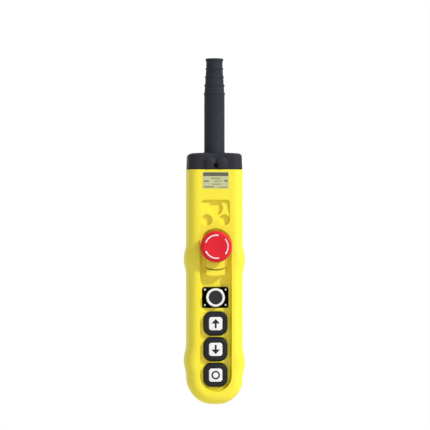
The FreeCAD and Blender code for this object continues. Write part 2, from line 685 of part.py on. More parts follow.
def front_shell():
    outer = housing_block().common(half_space(True))
    hollow = housing_hollow().common(half_space(True))
    hollow = hollow.cut([recess_backing(), ramp_backing()])
    bosses = [rod_y(x, z, FRONT, PARTING, SCREW_BOSS_RADIUS).common(outer) for x, z in screw_places()]
    shell = outer.cut(hollow).fuse(bosses + [neck(True)]).removeSplitter()
    plate_seat = rounded_rect_xz(0, plate_middle(), PLATE_WIDTH + 2 * SEAT_GAP,
                                 PLATE_HEIGHT + 2 * SEAT_GAP, PLATE_CORNER, FRONT - OVERSHOOT)
    cuts = [recess_space(), ramp_space(), slab(plate_seat, OVERSHOOT + PLATE_SEAT)]
    for x, z, radius, depth in well_places():
        cuts.append(rod_y(x, z, FRONT - OVERSHOOT, FRONT + depth, radius))
    for x, z in screw_places():
        cuts.append(rod_y(x, z, PARTING - INSERT_LENGTH - OVERSHOOT, PARTING + OVERSHOOT, INSERT_RADIUS))
    cuts.append(cap_screw_hole(True))
    shell = shell.cut(cuts)
    shell = shell.fuse(platform()).cut(floor_holes())
    return shell.removeSplitter()


def rear_shell():
    outer = housing_block().common(half_space(False))
    hollow = housing_hollow().common(half_space(False))
    additions = [neck(False)]
    cuts = [seam_ring(SEAT_GAP / 2), cap_screw_hole(False)]
    for x, z in screw_places():
        additions.append(rod_y(x, z, PARTING, BACK, SCREW_BOSS_RADIUS).common(outer))
        pocket = rod_y(x, z, SCREW_SEAT - WALL, BACK, SCREW_POCKET_RADIUS + SCREW_POCKET_WALL)
        additions.append(pocket.common(outer))
        cuts.append(rod_y(x, z, SCREW_SEAT, BACK + OVERSHOOT, SCREW_POCKET_RADIUS))
        cuts.append(rod_y(x, z, PARTING - OVERSHOOT, BACK, SCREW_RADIUS + LOOSE_GAP))
    for z in RAIL_SCREW_PLACES:
        additions.append(rod_y(0, z, RAIL_BACK, BACK - WALL / 2, RAIL_BOSS_RADIUS))
        cuts.append(rod_y(0, z, RAIL_BACK - OVERSHOOT, BACK - WALL, RAIL_SCREW_RADIUS + SCREW_GAP))
    for side in (1, -1):
        x = side * CLAMP_SCREW_OFFSET
        seat = CLAMP_BASE_FRONT + CLAMP_BASE_DEPTH
        additions.append(rod_y(x, CLAMP_Z, seat, BACK - WALL / 2, CLAMP_BOSS_RADIUS))
        cuts.append(rod_y(x, CLAMP_Z, seat - OVERSHOOT, BACK - WALL, CLAMP_SCREW_RADIUS + SCREW_GAP))
    shell = outer.cut(hollow).fuse(additions).removeSplitter()
    return shell.cut(cuts)


def shell_gasket():
    return seam_ring(0)


def screw_inserts():
    """Brass inserts moulded into the front shell's bosses."""
    inserts = []
    for x, z in screw_places():
        front = PARTING - INSERT_LENGTH
        inserts.append(ring_y(x, z, front, PARTING, SCREW_RADIUS + SCREW_GAP, INSERT_RADIUS))
    return inserts


def cross_slot(x, z, y0, y1, radius):
    """Cross recess in the head of a screw that faces +Y or -Y."""
    arm = radius * 0.6
    half = radius * 0.13
    flat = box(x - arm, x + arm, y0, y1, z - half, z + half)
    upright = box(x - half, x + half, y0, y1, z - arm, z + arm)
    return flat.fuse(upright)


def screw(x, z, seat, head_towards, head_radius, head_height, radius, length):
    """Cheese-head screw along Y; head_towards is -1 where its head faces the front."""
    head_end = seat + head_towards * head_height
    tip = seat - head_towards * length
    head = rod_y(x, z, min(seat, head_end), max(seat, head_end), head_radius)
    shank = rod_y(x, z, min(seat, tip), max(seat, tip), radius)
    return head.fuse(shank).removeSplitter()


def cross_screw(x, z, seat, head_towards, head_radius, head_height, radius, length):
    """Screw with a cross recess in its head, where it can be seen from outside."""
    head_end = seat + head_towards * head_height
    slot_end = head_end - head_towards * head_height * 0.5
    past = head_end + head_towards * OVERSHOOT
    slot = cross_slot(x, z, min(slot_end, past), max(slot_end, past), head_radius)
    return screw(x, z, seat, head_towards, head_radius, head_height, radius, length).cut(slot)


def housing_screws():
    length = SCREW_SEAT - PARTING + SCREW_REACH
    return [
        cross_screw(x, z, SCREW_SEAT, 1, SCREW_HEAD_RADIUS, SCREW_HEAD_HEIGHT, SCREW_RADIUS, length)
        for x, z in screw_places()
    ]


def plate_middle():
    return CAP_BOTTOM - PLATE_DROP - PLATE_HEIGHT / 2


def rating_plate():
    """Thin bare plate in its shallow seat under the cap."""
    front = FRONT + PLATE_SEAT - PLATE_THICKNESS
    wire = rounded_rect_xz(0, plate_middle(), PLATE_WIDTH, PLATE_HEIGHT, PLATE_CORNER, front)
    return slab(wire, PLATE_THICKNESS)


# Cap, boot and cable clamp

def lobes():
    """Two bullet-shaped lobes side by side on the cap's front."""
    half = LOBE_PITCH / 2
    radius = (half ** 2 + LOBE_PROUD ** 2) / (2 * LOBE_PROUD)
    centre_y = FRONT + CAP_INSET - LOBE_PROUD + radius
    shoulder = CAP_BOTTOM + LOBE_HEIGHT - half
    shapes = []
    for side in (1, -1):
        base = Vector(side * half, centre_y, GASKET_TOP)
        shapes.append(Part.makeCylinder(radius, shoulder - GASKET_TOP, base, Vector(0, 0, 1)))
        shapes.append(Part.makeSphere(radius, Vector(side * half, centre_y, shoulder)))
    lower = box(-HOUSING_WIDTH, HOUSING_WIDTH, 2 * FRONT, 0, GASKET_TOP, CAP_TOP)
    return union(shapes).common(lower)


def cap_screw_hole(front_half):
    """Hole for one cap screw through the neck, at the front or at the back."""
    z = CAP_BOTTOM + CAP_SCREW_RISE
    y0, y1 = (2 * FRONT, 0) if front_half else (0, 2 * BACK)
    return rod_y(0, z, y0, y1, CAP_SCREW_RADIUS + SCREW_GAP)


def cap_screw_seats():
    """Depth of the screw heads' seats in the cap's wall, front and back."""
    sink = CAP_SKIN - CAP_SCREW_WEB
    return (FRONT + CAP_INSET + sink, -1), (BACK - CAP_INSET - sink, 1)


def top_cap():
    outer = plan_block(CAP_INSET, GASKET_TOP, CAP_TOP)
    rim = [e for e in outer.Edges if e.BoundBox.ZMin > CAP_TOP - 1e-4]
    outer = outer.makeFillet(CAP_EDGE_RADIUS, rim).fuse(lobes())
    hollow = plan_block(CAP_INSET + CAP_SKIN, GASKET_TOP - OVERSHOOT, CAP_UNDERSIDE)
    inner_rim = [e for e in hollow.Edges if e.BoundBox.ZMin > CAP_UNDERSIDE - 1e-4]
    hollow = hollow.makeFillet(CAP_EDGE_RADIUS - CAP_SKIN, inner_rim)
    bosses = []
    cuts = [rod_z(CAP_UNDERSIDE - OVERSHOOT, CAP_TOP + OVERSHOOT, BOOT_BASE_RADIUS + SEAT_GAP)]
    for x in (RETAINER_SCREW_OFFSET, -RETAINER_SCREW_OFFSET):
        bosses.append(post_z(x, RETAINER_TOP, CAP_UNDERSIDE + OVERSHOOT, RETAINER_BOSS_RADIUS))
        tip = RETAINER_TOP - RETAINER_THICKNESS + RETAINER_SCREW_LENGTH
        cuts.append(post_z(x, RETAINER_TOP - OVERSHOOT, tip, RETAINER_SCREW_RADIUS + SCREW_GAP))
    cap = outer.cut(hollow).fuse(bosses)
    z = CAP_BOTTOM + CAP_SCREW_RISE
    for seat, outward in cap_screw_seats():
        far = seat + outward * FRONT_DEPTH
        near = seat - outward * FRONT_DEPTH / 2
        cuts.append(rod_y(0, z, min(seat, far), max(seat, far), CAP_SCREW_HEAD_RADIUS + LOOSE_GAP))
        cuts.append(rod_y(0, z, min(seat, near), max(seat, near), CAP_SCREW_RADIUS + SCREW_GAP))
    return cap.cut(cuts).removeSplitter()


def cap_gasket():
    """Flat gasket between the cap and the shells."""
    outer = CAP_INSET + CAP_GASKET_MARGIN
    return plan_ring(outer, NECK_INSET - SEAT_GAP, CAP_BOTTOM, GASKET_TOP)


def cap_screws():
    z = CAP_BOTTOM + CAP_SCREW_RISE
    return [
        cross_screw(0, z, seat, outward, CAP_SCREW_HEAD_RADIUS, CAP_SCREW_HEAD_HEIGHT,
                    CAP_SCREW_RADIUS, CAP_SCREW_LENGTH)
        for seat, outward in cap_screw_seats()
    ]


def boot_profile():
    """Half section of the boot: a lip, four beads on widening steps, a long taper and a flange."""
    radius = BOOT_TIP_RADIUS
    lip = radius + BOOT_LIP
    points = [(BORE_RADIUS, 0), (lip - EDGE_BREAK, 0), (lip, -EDGE_BREAK)]
    points.append((lip, -BOOT_LIP_HEIGHT))
    points.append((radius, -BOOT_LIP_HEIGHT - BOOT_LIP))
    for k in range(BEAD_COUNT):
        place = -FIRST_BEAD_DROP - k * BEAD_PITCH
        wider = radius + BOOT_STEP
        height = LAST_BEAD_HEIGHT if k == BEAD_COUNT - 1 else BEAD_HEIGHT
        crest = wider + height
        points.append((radius, place + BEAD_WIDTH / 2))
        points.append((crest, place + BEAD_WIDTH / 5))
        points.append((crest, place - BEAD_WIDTH / 5))
        if k == BEAD_COUNT - 1:
            wider = radius + BOOT_STEP / 2
        points.append((wider, place - BEAD_WIDTH / 2))
        radius = wider
    points.append((BOOT_BASE_RADIUS, CAP_TOP + BOOT_STEP))
    points.append((BOOT_BASE_RADIUS, CAP_UNDERSIDE))
    points.append((BOOT_FLANGE_RADIUS, CAP_UNDERSIDE))
    points.append((BOOT_FLANGE_RADIUS, CAP_UNDERSIDE - BOOT_FLANGE_HEIGHT))
    points.append((BORE_RADIUS, CAP_UNDERSIDE - BOOT_FLANGE_HEIGHT))
    return points


def cable_boot():
    return turned_z(boot_profile())


def boot_retainer():
    """Steel plate that presses the boot's flange up against the cap."""
    x = RETAINER_HALF_WIDTH
    y = BOOT_FLANGE_RADIUS
    bottom = RETAINER_TOP - RETAINER_THICKNESS
    plate = box(-x, x, -y, y, bottom, RETAINER_TOP)
    upright = [e for e in plate.Edges if e.BoundBox.ZLength > RETAINER_THICKNESS / 2]
    plate = plate.makeFillet(RETAINER_CORNER, upright)
    holes = [rod_z(bottom - OVERSHOOT, RETAINER_TOP + OVERSHOOT, BORE_RADIUS + WALL)]
    for x in (RETAINER_SCREW_OFFSET, -RETAINER_SCREW_OFFSET):
        radius = RETAINER_SCREW_RADIUS + SCREW_GAP
        holes.append(post_z(x, bottom - OVERSHOOT, RETAINER_TOP + OVERSHOOT, radius))
    return plate.cut(holes)


def retainer_screws():
    """Two screws from below through the plate into the cap."""
    seat = RETAINER_TOP - RETAINER_THICKNESS
    screws = []
    for x in (RETAINER_SCREW_OFFSET, -RETAINER_SCREW_OFFSET):
        head = post_z(x, seat - RETAINER_HEAD_HEIGHT, seat, RETAINER_HEAD_RADIUS)
        shank = post_z(x, seat, seat + RETAINER_SCREW_LENGTH, RETAINER_SCREW_RADIUS)
        screws.append(head.fuse(shank).removeSplitter())
    return screws


def clamp_blank(y0, y1):
    half = CLAMP_HALF_WIDTH
    block = box(-half, half, y0, y1, CLAMP_Z - CLAMP_HEIGHT / 2, CLAMP_Z + CLAMP_HEIGHT / 2)
    groove = Part.makeCylinder(BORE_RADIUS, CLAMP_HEIGHT + 2 * OVERSHOOT,
                               Vector(0, 0, CLAMP_Z - CLAMP_HEIGHT / 2 - OVERSHOOT), Vector(0, 0, 1))
    return block.cut(groove)


def clamp_base():
    """Saddle behind the cable, on two bosses of the rear shell."""
    base = clamp_blank(CLAMP_BASE_FRONT, CLAMP_BASE_FRONT + CLAMP_BASE_DEPTH)
    holes = []
    for side in (1, -1):
        x = side * CLAMP_SCREW_OFFSET
        holes.append(rod_y(x, CLAMP_Z, -BACK, BACK, CLAMP_SCREW_RADIUS + SCREW_GAP))
    return base.cut(holes)


def clamp_bar():
    """Arched bar in front of the cable."""
    half = CLAMP_HALF_WIDTH
    front = CLAMP_BAR_BACK - CLAMP_BAR_DEPTH
    z0 = CLAMP_Z - CLAMP_HEIGHT / 2
    z1 = CLAMP_Z + CLAMP_HEIGHT / 2
    strip = box(-half, half, front, CLAMP_BAR_BACK, z0, z1)
    arch = rod_z(z0, z1, BORE_RADIUS + CLAMP_BAR_DEPTH)
    arch = arch.common(box(-half, half, -BACK, CLAMP_BAR_BACK, z0, z1))
    bar = strip.fuse(arch).cut(rod_z(z0 - OVERSHOOT, z1 + OVERSHOOT, BORE_RADIUS))
    for side in (1, -1):
        x = side * CLAMP_SCREW_OFFSET
        bar = bar.cut(rod_y(x, CLAMP_Z, -BACK, BACK, CLAMP_SCREW_RADIUS + SCREW_GAP))
    return bar.removeSplitter()


def clamp_screws():
    seat = CLAMP_BAR_BACK - CLAMP_BAR_DEPTH
    reach = CLAMP_BAR_DEPTH + CLAMP_GAP + CLAMP_BASE_DEPTH + CLAMP_SCREW_LENGTH
    return [
        screw(side * CLAMP_SCREW_OFFSET, CLAMP_Z, seat, -1, CLAMP_HEAD_RADIUS, CLAMP_HEAD_HEIGHT,
              CLAMP_SCREW_RADIUS, reach)
        for side in (1, -1)
    ]


# Emergency stop

def estop_carrier():
    """Yellow moulding that lifts the stop to the front: a flange, a round boss and a tongue."""
    depth = FLOOR - PLATFORM_FACE
    disc = rod_y(0, STOP_Z, PLATFORM_FACE, FLOOR, CARRIER_RADIUS)
    flange = slab(pocket_wire(-LOOSE_GAP, FLOOR - CARRIER_FLANGE), CARRIER_FLANGE)
    boss = rod_y(0, STOP_Z, PLATFORM_FACE, FLOOR, CARRIER_BOSS_RADIUS)
    half = TONGUE_WIDTH / 2
    tongue = box(-half, half, PLATFORM_FACE, PLATFORM_FACE + depth, STOP_Z - CARRIER_RADIUS, STOP_Z)
    carrier = flange.fuse([boss, tongue]).common(disc)
    hole = rod_y(0, STOP_Z, PLATFORM_FACE - OVERSHOOT, FLOOR + OVERSHOOT, SLEEVE_RADIUS + LOOSE_GAP)
    return carrier.cut(hole).removeSplitter()


def estop_seal():
    inner = SLEEVE_RADIUS + SEAT_GAP
    return ring_y(0, STOP_Z, SLEEVE_SEAT, PLATFORM_FACE, inner, inner + SEAL_WIDTH)


def estop_sleeve():
    """Threaded sleeve that guides the head's neck and the stem."""
    neck_bore = STOP_NECK_RADIUS + LOOSE_GAP
    stem_bore = PLUNGER_RADIUS + LOOSE_GAP
    shoulder = FLOOR
    back = BLOCK_FRONT - LOOSE_GAP
    front = SLEEVE_SEAT - SLEEVE_FLANGE
    return turned_y([
        (neck_bore, front),
        (SLEEVE_FLANGE_RADIUS - EDGE_BREAK, front),
        (SLEEVE_FLANGE_RADIUS, front + EDGE_BREAK),
        (SLEEVE_FLANGE_RADIUS, SLEEVE_SEAT),
        (SLEEVE_RADIUS, SLEEVE_SEAT),
        (SLEEVE_RADIUS, back),
        (stem_bore, back),
        (stem_bore, shoulder),
        (neck_bore, shoulder),
    ], 0, STOP_Z)


def estop_nut():
    return hexagon_nut(0, STOP_Z, FLOOR_BACK, FLOOR_BACK + STOP_NUT_HEIGHT, STOP_NUT_FLATS,
                       SLEEVE_RADIUS + SCREW_GAP)


def stop_rim():
    return PLATFORM_FACE - STOP_RIM_RISE


def head_edge(start, middle, end):
    """Arc in the head's half section, through three (radius, y) points."""
    points = [Vector(r, y, STOP_Z) for r, y in (start, middle, end)]
    return Part.Arc(*points).toShape()


def estop_head():
    """Mushroom head: rolled rim, domed shoulder and a shallow dish, with a neck below."""
    rim = stop_rim()
    crest = rim - STOP_CREST_RISE
    under = SLEEVE_SEAT - SLEEVE_FLANGE - STOP_TRAVEL - LOOSE_GAP
    neck_end = FLOOR - STOP_TRAVEL - LOOSE_GAP
    socket = crest + STOP_DISH + WALL
    socket_radius = PLUNGER_RADIUS + SEAT_GAP
    roll = under - rim
    top = crest + STOP_DISH
    edges = [
        line(Vector(0, top, STOP_Z), Vector(STOP_CREST_RADIUS, crest, STOP_Z)),
        head_edge((STOP_CREST_RADIUS, crest), (STOP_HEAD_RADIUS * 0.87, crest + STOP_CREST_RISE * 0.34),
                  (STOP_HEAD_RADIUS, rim)),
    ]
    path = [
        (STOP_HEAD_RADIUS, rim),
        (STOP_HEAD_RADIUS - roll * 0.15, rim + roll * 0.55),
        (STOP_HEAD_RADIUS - roll * 0.8, under),
        (STOP_HEAD_RADIUS - roll * 1.4, under),
        (STOP_NECK_RADIUS, rim),
        (STOP_NECK_RADIUS, neck_end),
        (socket_radius, neck_end),
        (socket_radius, socket),
        (0, socket),
        (0, top),
    ]
    for start, end in zip(path, path[1:]):
        edges.append(line(Vector(start[0], start[1], STOP_Z), Vector(end[0], end[1], STOP_Z)))
    face = Part.Face(Part.Wire(Part.__sortEdges__(edges)))
    return face.revolve(Vector(0, 0, STOP_Z), Vector(0, 1, 0), 360)


def estop_marks():
    """Three curved turn-to-release marks inlaid in the head's shoulder."""
    head = estop_head()
    skin = head.copy()
    skin.translate(Vector(0, -MARK_PROUD, 0))
    deep = stop_rim()
    inner = MARK_RADIUS - MARK_WIDTH / 2
    outer = MARK_RADIUS + MARK_WIDTH / 2
    ring = ring_y(0, STOP_Z, deep - 2 * STOP_CREST_RISE, deep, inner, outer)
    shell = ring.common(skin).cut(head)
    marks = []
    for k in range(3):
        start = math.radians(MARK_START + 120 * k)
        end = start + math.radians(MARK_SWEEP)
        reach = 2 * STOP_HEAD_RADIUS
        points = [Vector(0, deep, STOP_Z)]
        for step in range(3):
            angle = start + (end - start) * step / 2
            points.append(Vector(reach * math.cos(angle), deep, STOP_Z + reach * math.sin(angle)))
        sector = Part.Face(Part.makePolygon(points + [points[0]]))
        sector = sector.extrude(Vector(0, -2 * STOP_CREST_RISE, 0))
        marks.append(shell.common(sector))
    return marks


def plunger(z, front):
    """Round plunger from the button to the contact bridge, with a thin pin at its end."""
    shaft = rod_y(0, z, front, BRIDGE_FRONT, PLUNGER_RADIUS)
    pin = rod_y(0, z, BRIDGE_FRONT, BRIDGE_FRONT + PIN_LENGTH, PIN_RADIUS)
    return shaft.fuse(pin).removeSplitter()


def estop_stem():
    return plunger(STOP_Z, stop_rim() - STOP_CREST_RISE + STOP_DISH + WALL + SEAT_GAP)


# Start button

def adapter_screw_places():
    places = []
    for sx in (1, -1):
        for sz in (1, -1):
            places.append((sx * ADAPTER_SCREW_X, START_Z + sz * ADAPTER_SCREW_Z))
    return places


def adapter_sheet(shrink, y0, y1):
    """Rounded sheet with the sleeve's hole and four screw holes."""
    wire = rounded_rect_xz(0, START_Z, ADAPTER_WIDTH - 2 * shrink, ADAPTER_HEIGHT - 2 * shrink,
                           ADAPTER_CORNER, y0)
    holes = [rod_y(0, START_Z, y0 - OVERSHOOT, y1 + OVERSHOOT, START_SLEEVE_RADIUS + SEAT_GAP)]
    for x, z in adapter_screw_places():
        holes.append(rod_y(x, z, y0 - OVERSHOOT, y1 + OVERSHOOT, ADAPTER_SCREW_RADIUS + SCREW_GAP))
    return slab(wire, y1 - y0).cut(holes)


def adapter_plate():
    return adapter_sheet(0, ADAPTER_FRONT, ADAPTER_BACK)


def adapter_gasket():
    return adapter_sheet(SEAL_THICKNESS, ADAPTER_BACK, FLOOR)


def adapter_screws():
    """Small domed screws at the corners of the plate."""
    screws = []
    rise = ADAPTER_HEAD_HEIGHT
    sphere_radius = (ADAPTER_HEAD_RADIUS ** 2 + rise ** 2) / (2 * rise)
    for x, z in adapter_screw_places():
        ball = Part.makeSphere(sphere_radius, Vector(x, ADAPTER_FRONT - rise + sphere_radius, z))
        head = ball.common(rod_y(x, z, ADAPTER_FRONT - rise, ADAPTER_FRONT, ADAPTER_HEAD_RADIUS))
        shank = rod_y(x, z, ADAPTER_FRONT, FLOOR_BACK, ADAPTER_SCREW_RADIUS)
        screws.append(head.fuse(shank))
    return screws


def bezel_ring():
    """Bright ring round the start button, with a web that the sleeve's flange holds down."""
    web = ADAPTER_FRONT - BEZEL_WEB
    return turned_y([
        (START_SLEEVE_RADIUS + SEAT_GAP, ADAPTER_FRONT),
        (BEZEL_RADIUS, ADAPTER_FRONT),
        (BEZEL_RADIUS, BEZEL_FRONT + BEZEL_ROLL),
        (BEZEL_RADIUS - BEZEL_WALL * 0.08, BEZEL_FRONT + BEZEL_ROLL * 0.36),
        (BEZEL_RADIUS - BEZEL_WALL * 0.24, BEZEL_FRONT),
        (BEZEL_RADIUS - BEZEL_WALL * 0.76, BEZEL_FRONT),
        (BEZEL_BORE, BEZEL_FRONT + BEZEL_ROLL * 0.36),
        (BEZEL_BORE, web),
        (START_SLEEVE_RADIUS + SEAT_GAP, web),
    ], 0, START_Z)


def start_sleeve():
    web = ADAPTER_FRONT - BEZEL_WEB
    back = BLOCK_FRONT - LOOSE_GAP
    bore = PLUNGER_RADIUS + LOOSE_GAP
    return turned_y([
        (bore, web - START_SLEEVE_FLANGE),
        (BEZEL_BORE - SEAT_GAP, web - START_SLEEVE_FLANGE),
        (BEZEL_BORE - SEAT_GAP, web),
        (START_SLEEVE_RADIUS, web),
        (START_SLEEVE_RADIUS, back),
        (bore, back),
    ], 0, START_Z)


def start_nut():
    return hexagon_nut(0, START_Z, FLOOR_BACK, FLOOR_BACK + START_NUT_HEIGHT, START_NUT_FLATS,
                       START_SLEEVE_RADIUS + SCREW_GAP)


def start_button():
    """Flat round button that sinks into the bright ring."""
    front = BEZEL_FRONT + START_SINK
    radius = BEZEL_BORE - LOOSE_GAP
    return turned_y([
        (0, front),
        (radius - EDGE_BREAK, front),
        (radius, front + EDGE_BREAK),
        (radius, front + START_DISC),
        (0, front + START_DISC),
    ], 0, START_Z)


def start_plunger():
    return plunger(START_Z, BEZEL_FRONT + START_SINK + START_DISC)


# Direction and stop buttons

def button_cap(z):
    """Rubber cap: a rounded square with sloping shoulders, a legend pocket and a plunger seat."""
    cap = slab(rounded_rect_xz(0, z, BUTTON_SIZE, BUTTON_SIZE, BUTTON_CORNER, BUTTON_FRONT), BUTTON_HEIGHT)
    cap = cap.makeChamfer(BUTTON_SLOPE, flat_edges(cap, BUTTON_FRONT))
    pocket = rounded_rect_xz(0, z, LEGEND_SIZE + 2 * SEAT_GAP, LEGEND_SIZE + 2 * SEAT_GAP,
                             LEGEND_CORNER, BUTTON_FRONT - OVERSHOOT)
    seat = rod_y(0, z, BUTTON_SKIRT - PLUNGER_HEAD, BUTTON_SKIRT + OVERSHOOT, PLUNGER_HEAD_RADIUS + SEAT_GAP)
    return cap.cut([slab(pocket, LEGEND_DEPTH + OVERSHOOT), seat])


def legend_insert(z):
    """Bare white tile in the middle of a button."""
    front = BUTTON_FRONT - LEGEND_PROUD
    return slab(rounded_rect_xz(0, z, LEGEND_SIZE, LEGEND_SIZE, LEGEND_CORNER, front),
                LEGEND_DEPTH + LEGEND_PROUD)


def button_plunger(z):
    head = rod_y(0, z, BUTTON_SKIRT - PLUNGER_HEAD, BUTTON_SKIRT, PLUNGER_HEAD_RADIUS)
    return head.fuse(plunger(z, BUTTON_SKIRT - PLUNGER_HEAD)).removeSplitter()


def button_seals():
    """Rubber lip rings let into the recess floor round each plunger."""
    inner = PLUNGER_RADIUS + LOOSE_GAP
    outer = PLUNGER_RADIUS + SEAL_BORE_EXTRA
    return [ring_y(0, z, FLOOR, FLOOR + SEAL_SINK, inner, outer) for z in BUTTON_PLACES.values()]


# Contact sets

def terminal_places(z):
    """Terminals at both ends of one block: the way they point and their screw's place."""
    reach = BLOCK_HEIGHT / 2 - TERMINAL_SCREW_INSET
    return [(end, z + end * reach) for end in (1, -1)]


def contact_block(z):
    """Moulded block with a slot for the bridge and a blind bore for the return spring."""
    half = BLOCK_WIDTH / 2
    high = BLOCK_HEIGHT / 2
    block = box(-half, half, BLOCK_FRONT, BLOCK_BACK, z - high, z + high)
    slot_half = SLOT_WIDTH / 2
    front = BLOCK_FRONT - OVERSHOOT
    past = high + OVERSHOOT
    cuts = [
        box(-slot_half, slot_half, front, SLOT_FLOOR, z - past, z + past),
        rod_y(0, z, front, SLOT_FLOOR, PLUNGER_RADIUS + LOOSE_GAP),
        rod_y(0, z, SLOT_FLOOR - OVERSHOOT, SPRING_SEAT, SPRING_BORE),
    ]
    for end, place in terminal_places(z):
        tip = SLOT_FLOOR - TERMINAL_THICKNESS + TERMINAL_SCREW_LENGTH
        cuts.append(rod_y(0, place, SLOT_FLOOR - OVERSHOOT, tip, TERMINAL_SCREW_RADIUS + SCREW_GAP))
    return block.cut(cuts)


def contact_bridge(z):
    """Moving contact strip with two tips, threaded on the plunger's pin."""
    half = BRIDGE_WIDTH / 2
    strip = box(-half, half, BRIDGE_FRONT, BRIDGE_FRONT + BRIDGE_THICKNESS,
                z - BRIDGE_HALF_LENGTH, z + BRIDGE_HALF_LENGTH)
    hub = rod_y(0, z, BRIDGE_FRONT, BRIDGE_FRONT + BRIDGE_THICKNESS, SPRING_BORE - LOOSE_GAP)
    tips = []
    for end in (1, -1):
        back = BRIDGE_FRONT + BRIDGE_THICKNESS
        tips.append(rod_y(0, z + end * TIP_OFFSET, back, back + TIP_HEIGHT, TIP_RADIUS))
    bridge = strip.fuse([hub] + tips).removeSplitter()
    back = BRIDGE_FRONT + BRIDGE_THICKNESS + OVERSHOOT
    return bridge.cut(rod_y(0, z, BRIDGE_FRONT - OVERSHOOT, back, PIN_RADIUS + SEAT_GAP))


def return_spring(z):
    """Square-wire coil between the bridge and the bottom of the block's bore."""
    half = SPRING_WIRE / 2
    start = BRIDGE_FRONT + BRIDGE_THICKNESS + half + SCREW_GAP
    rise = SPRING_LENGTH - SPRING_WIRE - 2 * SCREW_GAP
    steps = SPRING_TURNS * SPRING_FLATS
    sections = []
    for k in range(steps + 1):
        turn = 2 * math.pi * k / SPRING_FLATS
        outward = Vector(math.cos(turn), 0, math.sin(turn))
        centre = Vector(0, start + rise * k / steps, z) + outward * SPRING_RADIUS
        corners = [
            centre + outward * sx * half + Vector(0, sy * half, 0)
            for sx, sy in ((1, 1), (1, -1), (-1, -1), (-1, 1))
        ]
        sections.append(Part.makePolygon(corners + [corners[0]]))
    return Part.makeLoft(sections, True, True)


def terminal_plates():
    """Forked strips under the terminal screws, ending under the bridge's tips."""
    plates = []
    half = TERMINAL_WIDTH / 2
    slot = TERMINAL_SCREW_RADIUS + SCREW_GAP
    for z in CONTACT_PLACES.values():
        for end, place in terminal_places(z):
            outer = z + end * BLOCK_HEIGHT / 2
            inner = z + end * (TIP_OFFSET - TIP_RADIUS - LOOSE_GAP)
            root = place - end * slot
            past = outer + end * OVERSHOOT
            front = SLOT_FLOOR - TERMINAL_THICKNESS
            strip = box(-half, half, front, SLOT_FLOOR, min(inner, outer), max(inner, outer))
            near = min(root, past)
            far = max(root, past)
            fork = box(-slot, slot, front - OVERSHOOT, SLOT_FLOOR + OVERSHOOT, near, far)
            plates.append(strip.cut(fork))
    return plates


def terminal_screws():
    screws = []
    seat = SLOT_FLOOR - TERMINAL_THICKNESS
    for z in CONTACT_PLACES.values():
        for end, place in terminal_places(z):
            screws.append(screw(0, place, seat, -1, TERMINAL_HEAD_RADIUS, TERMINAL_HEAD_HEIGHT,
                                TERMINAL_SCREW_RADIUS, TERMINAL_SCREW_LENGTH))
    return screws


def contact_rail():
    """Steel strip that the contact blocks sit on."""
    half = RAIL_HALF_WIDTH
    rail = box(-half, half, BLOCK_BACK, RAIL_BACK, RAIL_BOTTOM, RAIL_TOP)
    holes = [
        rod_y(0, z, BLOCK_BACK - OVERSHOOT, RAIL_BACK + OVERSHOOT, RAIL_SCREW_RADIUS + SCREW_GAP)
        for z in RAIL_SCREW_PLACES
    ]
    return rail.cut(holes)


def rail_screws():
    length = BACK - WALL - BLOCK_BACK - OVERSHOOT
    return [
        screw(0, z, BLOCK_BACK, -1, RAIL_HEAD_RADIUS, RAIL_HEAD_HEIGHT, RAIL_SCREW_RADIUS, length)
        for z in RAIL_SCREW_PLACES
    ]


def all_pieces():
    """Every node of the object, by name."""
    pieces = {
        "front_shell": front_shell(),
        "rear_shell": rear_shell(),
        "shell_gasket": shell_gasket(),
        "screw_inserts": screw_inserts(),
        "housing_screws": housing_screws(),
        "rating_plate": rating_plate(),
        "top_cap": top_cap(),
        "cap_gasket": cap_gasket(),
        "cap_screws": cap_screws(),
        "cable_boot": cable_boot(),
        "boot_retainer": boot_retainer(),
        "retainer_screws": retainer_screws(),
        "clamp_base": clamp_base(),
        "clamp_bar": clamp_bar(),
        "clamp_screws": clamp_screws(),
        "estop_carrier": estop_carrier(),
        "estop_seal": estop_seal(),
        "estop_sleeve": estop_sleeve(),
        "estop_nut": estop_nut(),
        "estop_head": estop_head(),
        "estop_marks": estop_marks(),
        "estop_stem": estop_stem(),
        "adapter_plate": adapter_plate(),
        "adapter_gasket": adapter_gasket(),
        "adapter_screws": adapter_screws(),
        "bezel_ring": bezel_ring(),
        "start_sleeve": start_sleeve(),
        "start_nut": start_nut(),
        "start_button": start_button(),
        "start_plunger": start_plunger(),
        "button_seals": button_seals(),
        "terminal_plates": terminal_plates(),
        "terminal_screws": terminal_screws(),
        "contact_rail": contact_rail(),
        "rail_screws": rail_screws(),
    }
    for name, z in BUTTON_PLACES.items():
        pieces[name + "_button"] = button_cap(z)
        pieces[name + "_legend"] = legend_insert(z)
        pieces[name + "_plunger"] = button_plunger(z)
    for name, z in CONTACT_PLACES.items():
        pieces[name + "_contact_block"] = contact_block(z)
        pieces[name + "_contact_bridge"] = contact_bridge(z)
        pieces[name + "_spring"] = return_spring(z)
    return pieces


def save(name, shape):
    """One file per node; a list of like solids is kept together in one file."""
    if isinstance(shape, list):
        shape = Part.makeCompound(shape)
    shape.exportStep("parts/" + name + ".step")


os.makedirs("parts", exist_ok=True)
for node, solid in all_pieces().items():
    save(node, solid)
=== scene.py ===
"""Looks of the hoist switch: a yellow pendant with a red stop head, hanging on its cable boot."""

import json
import math

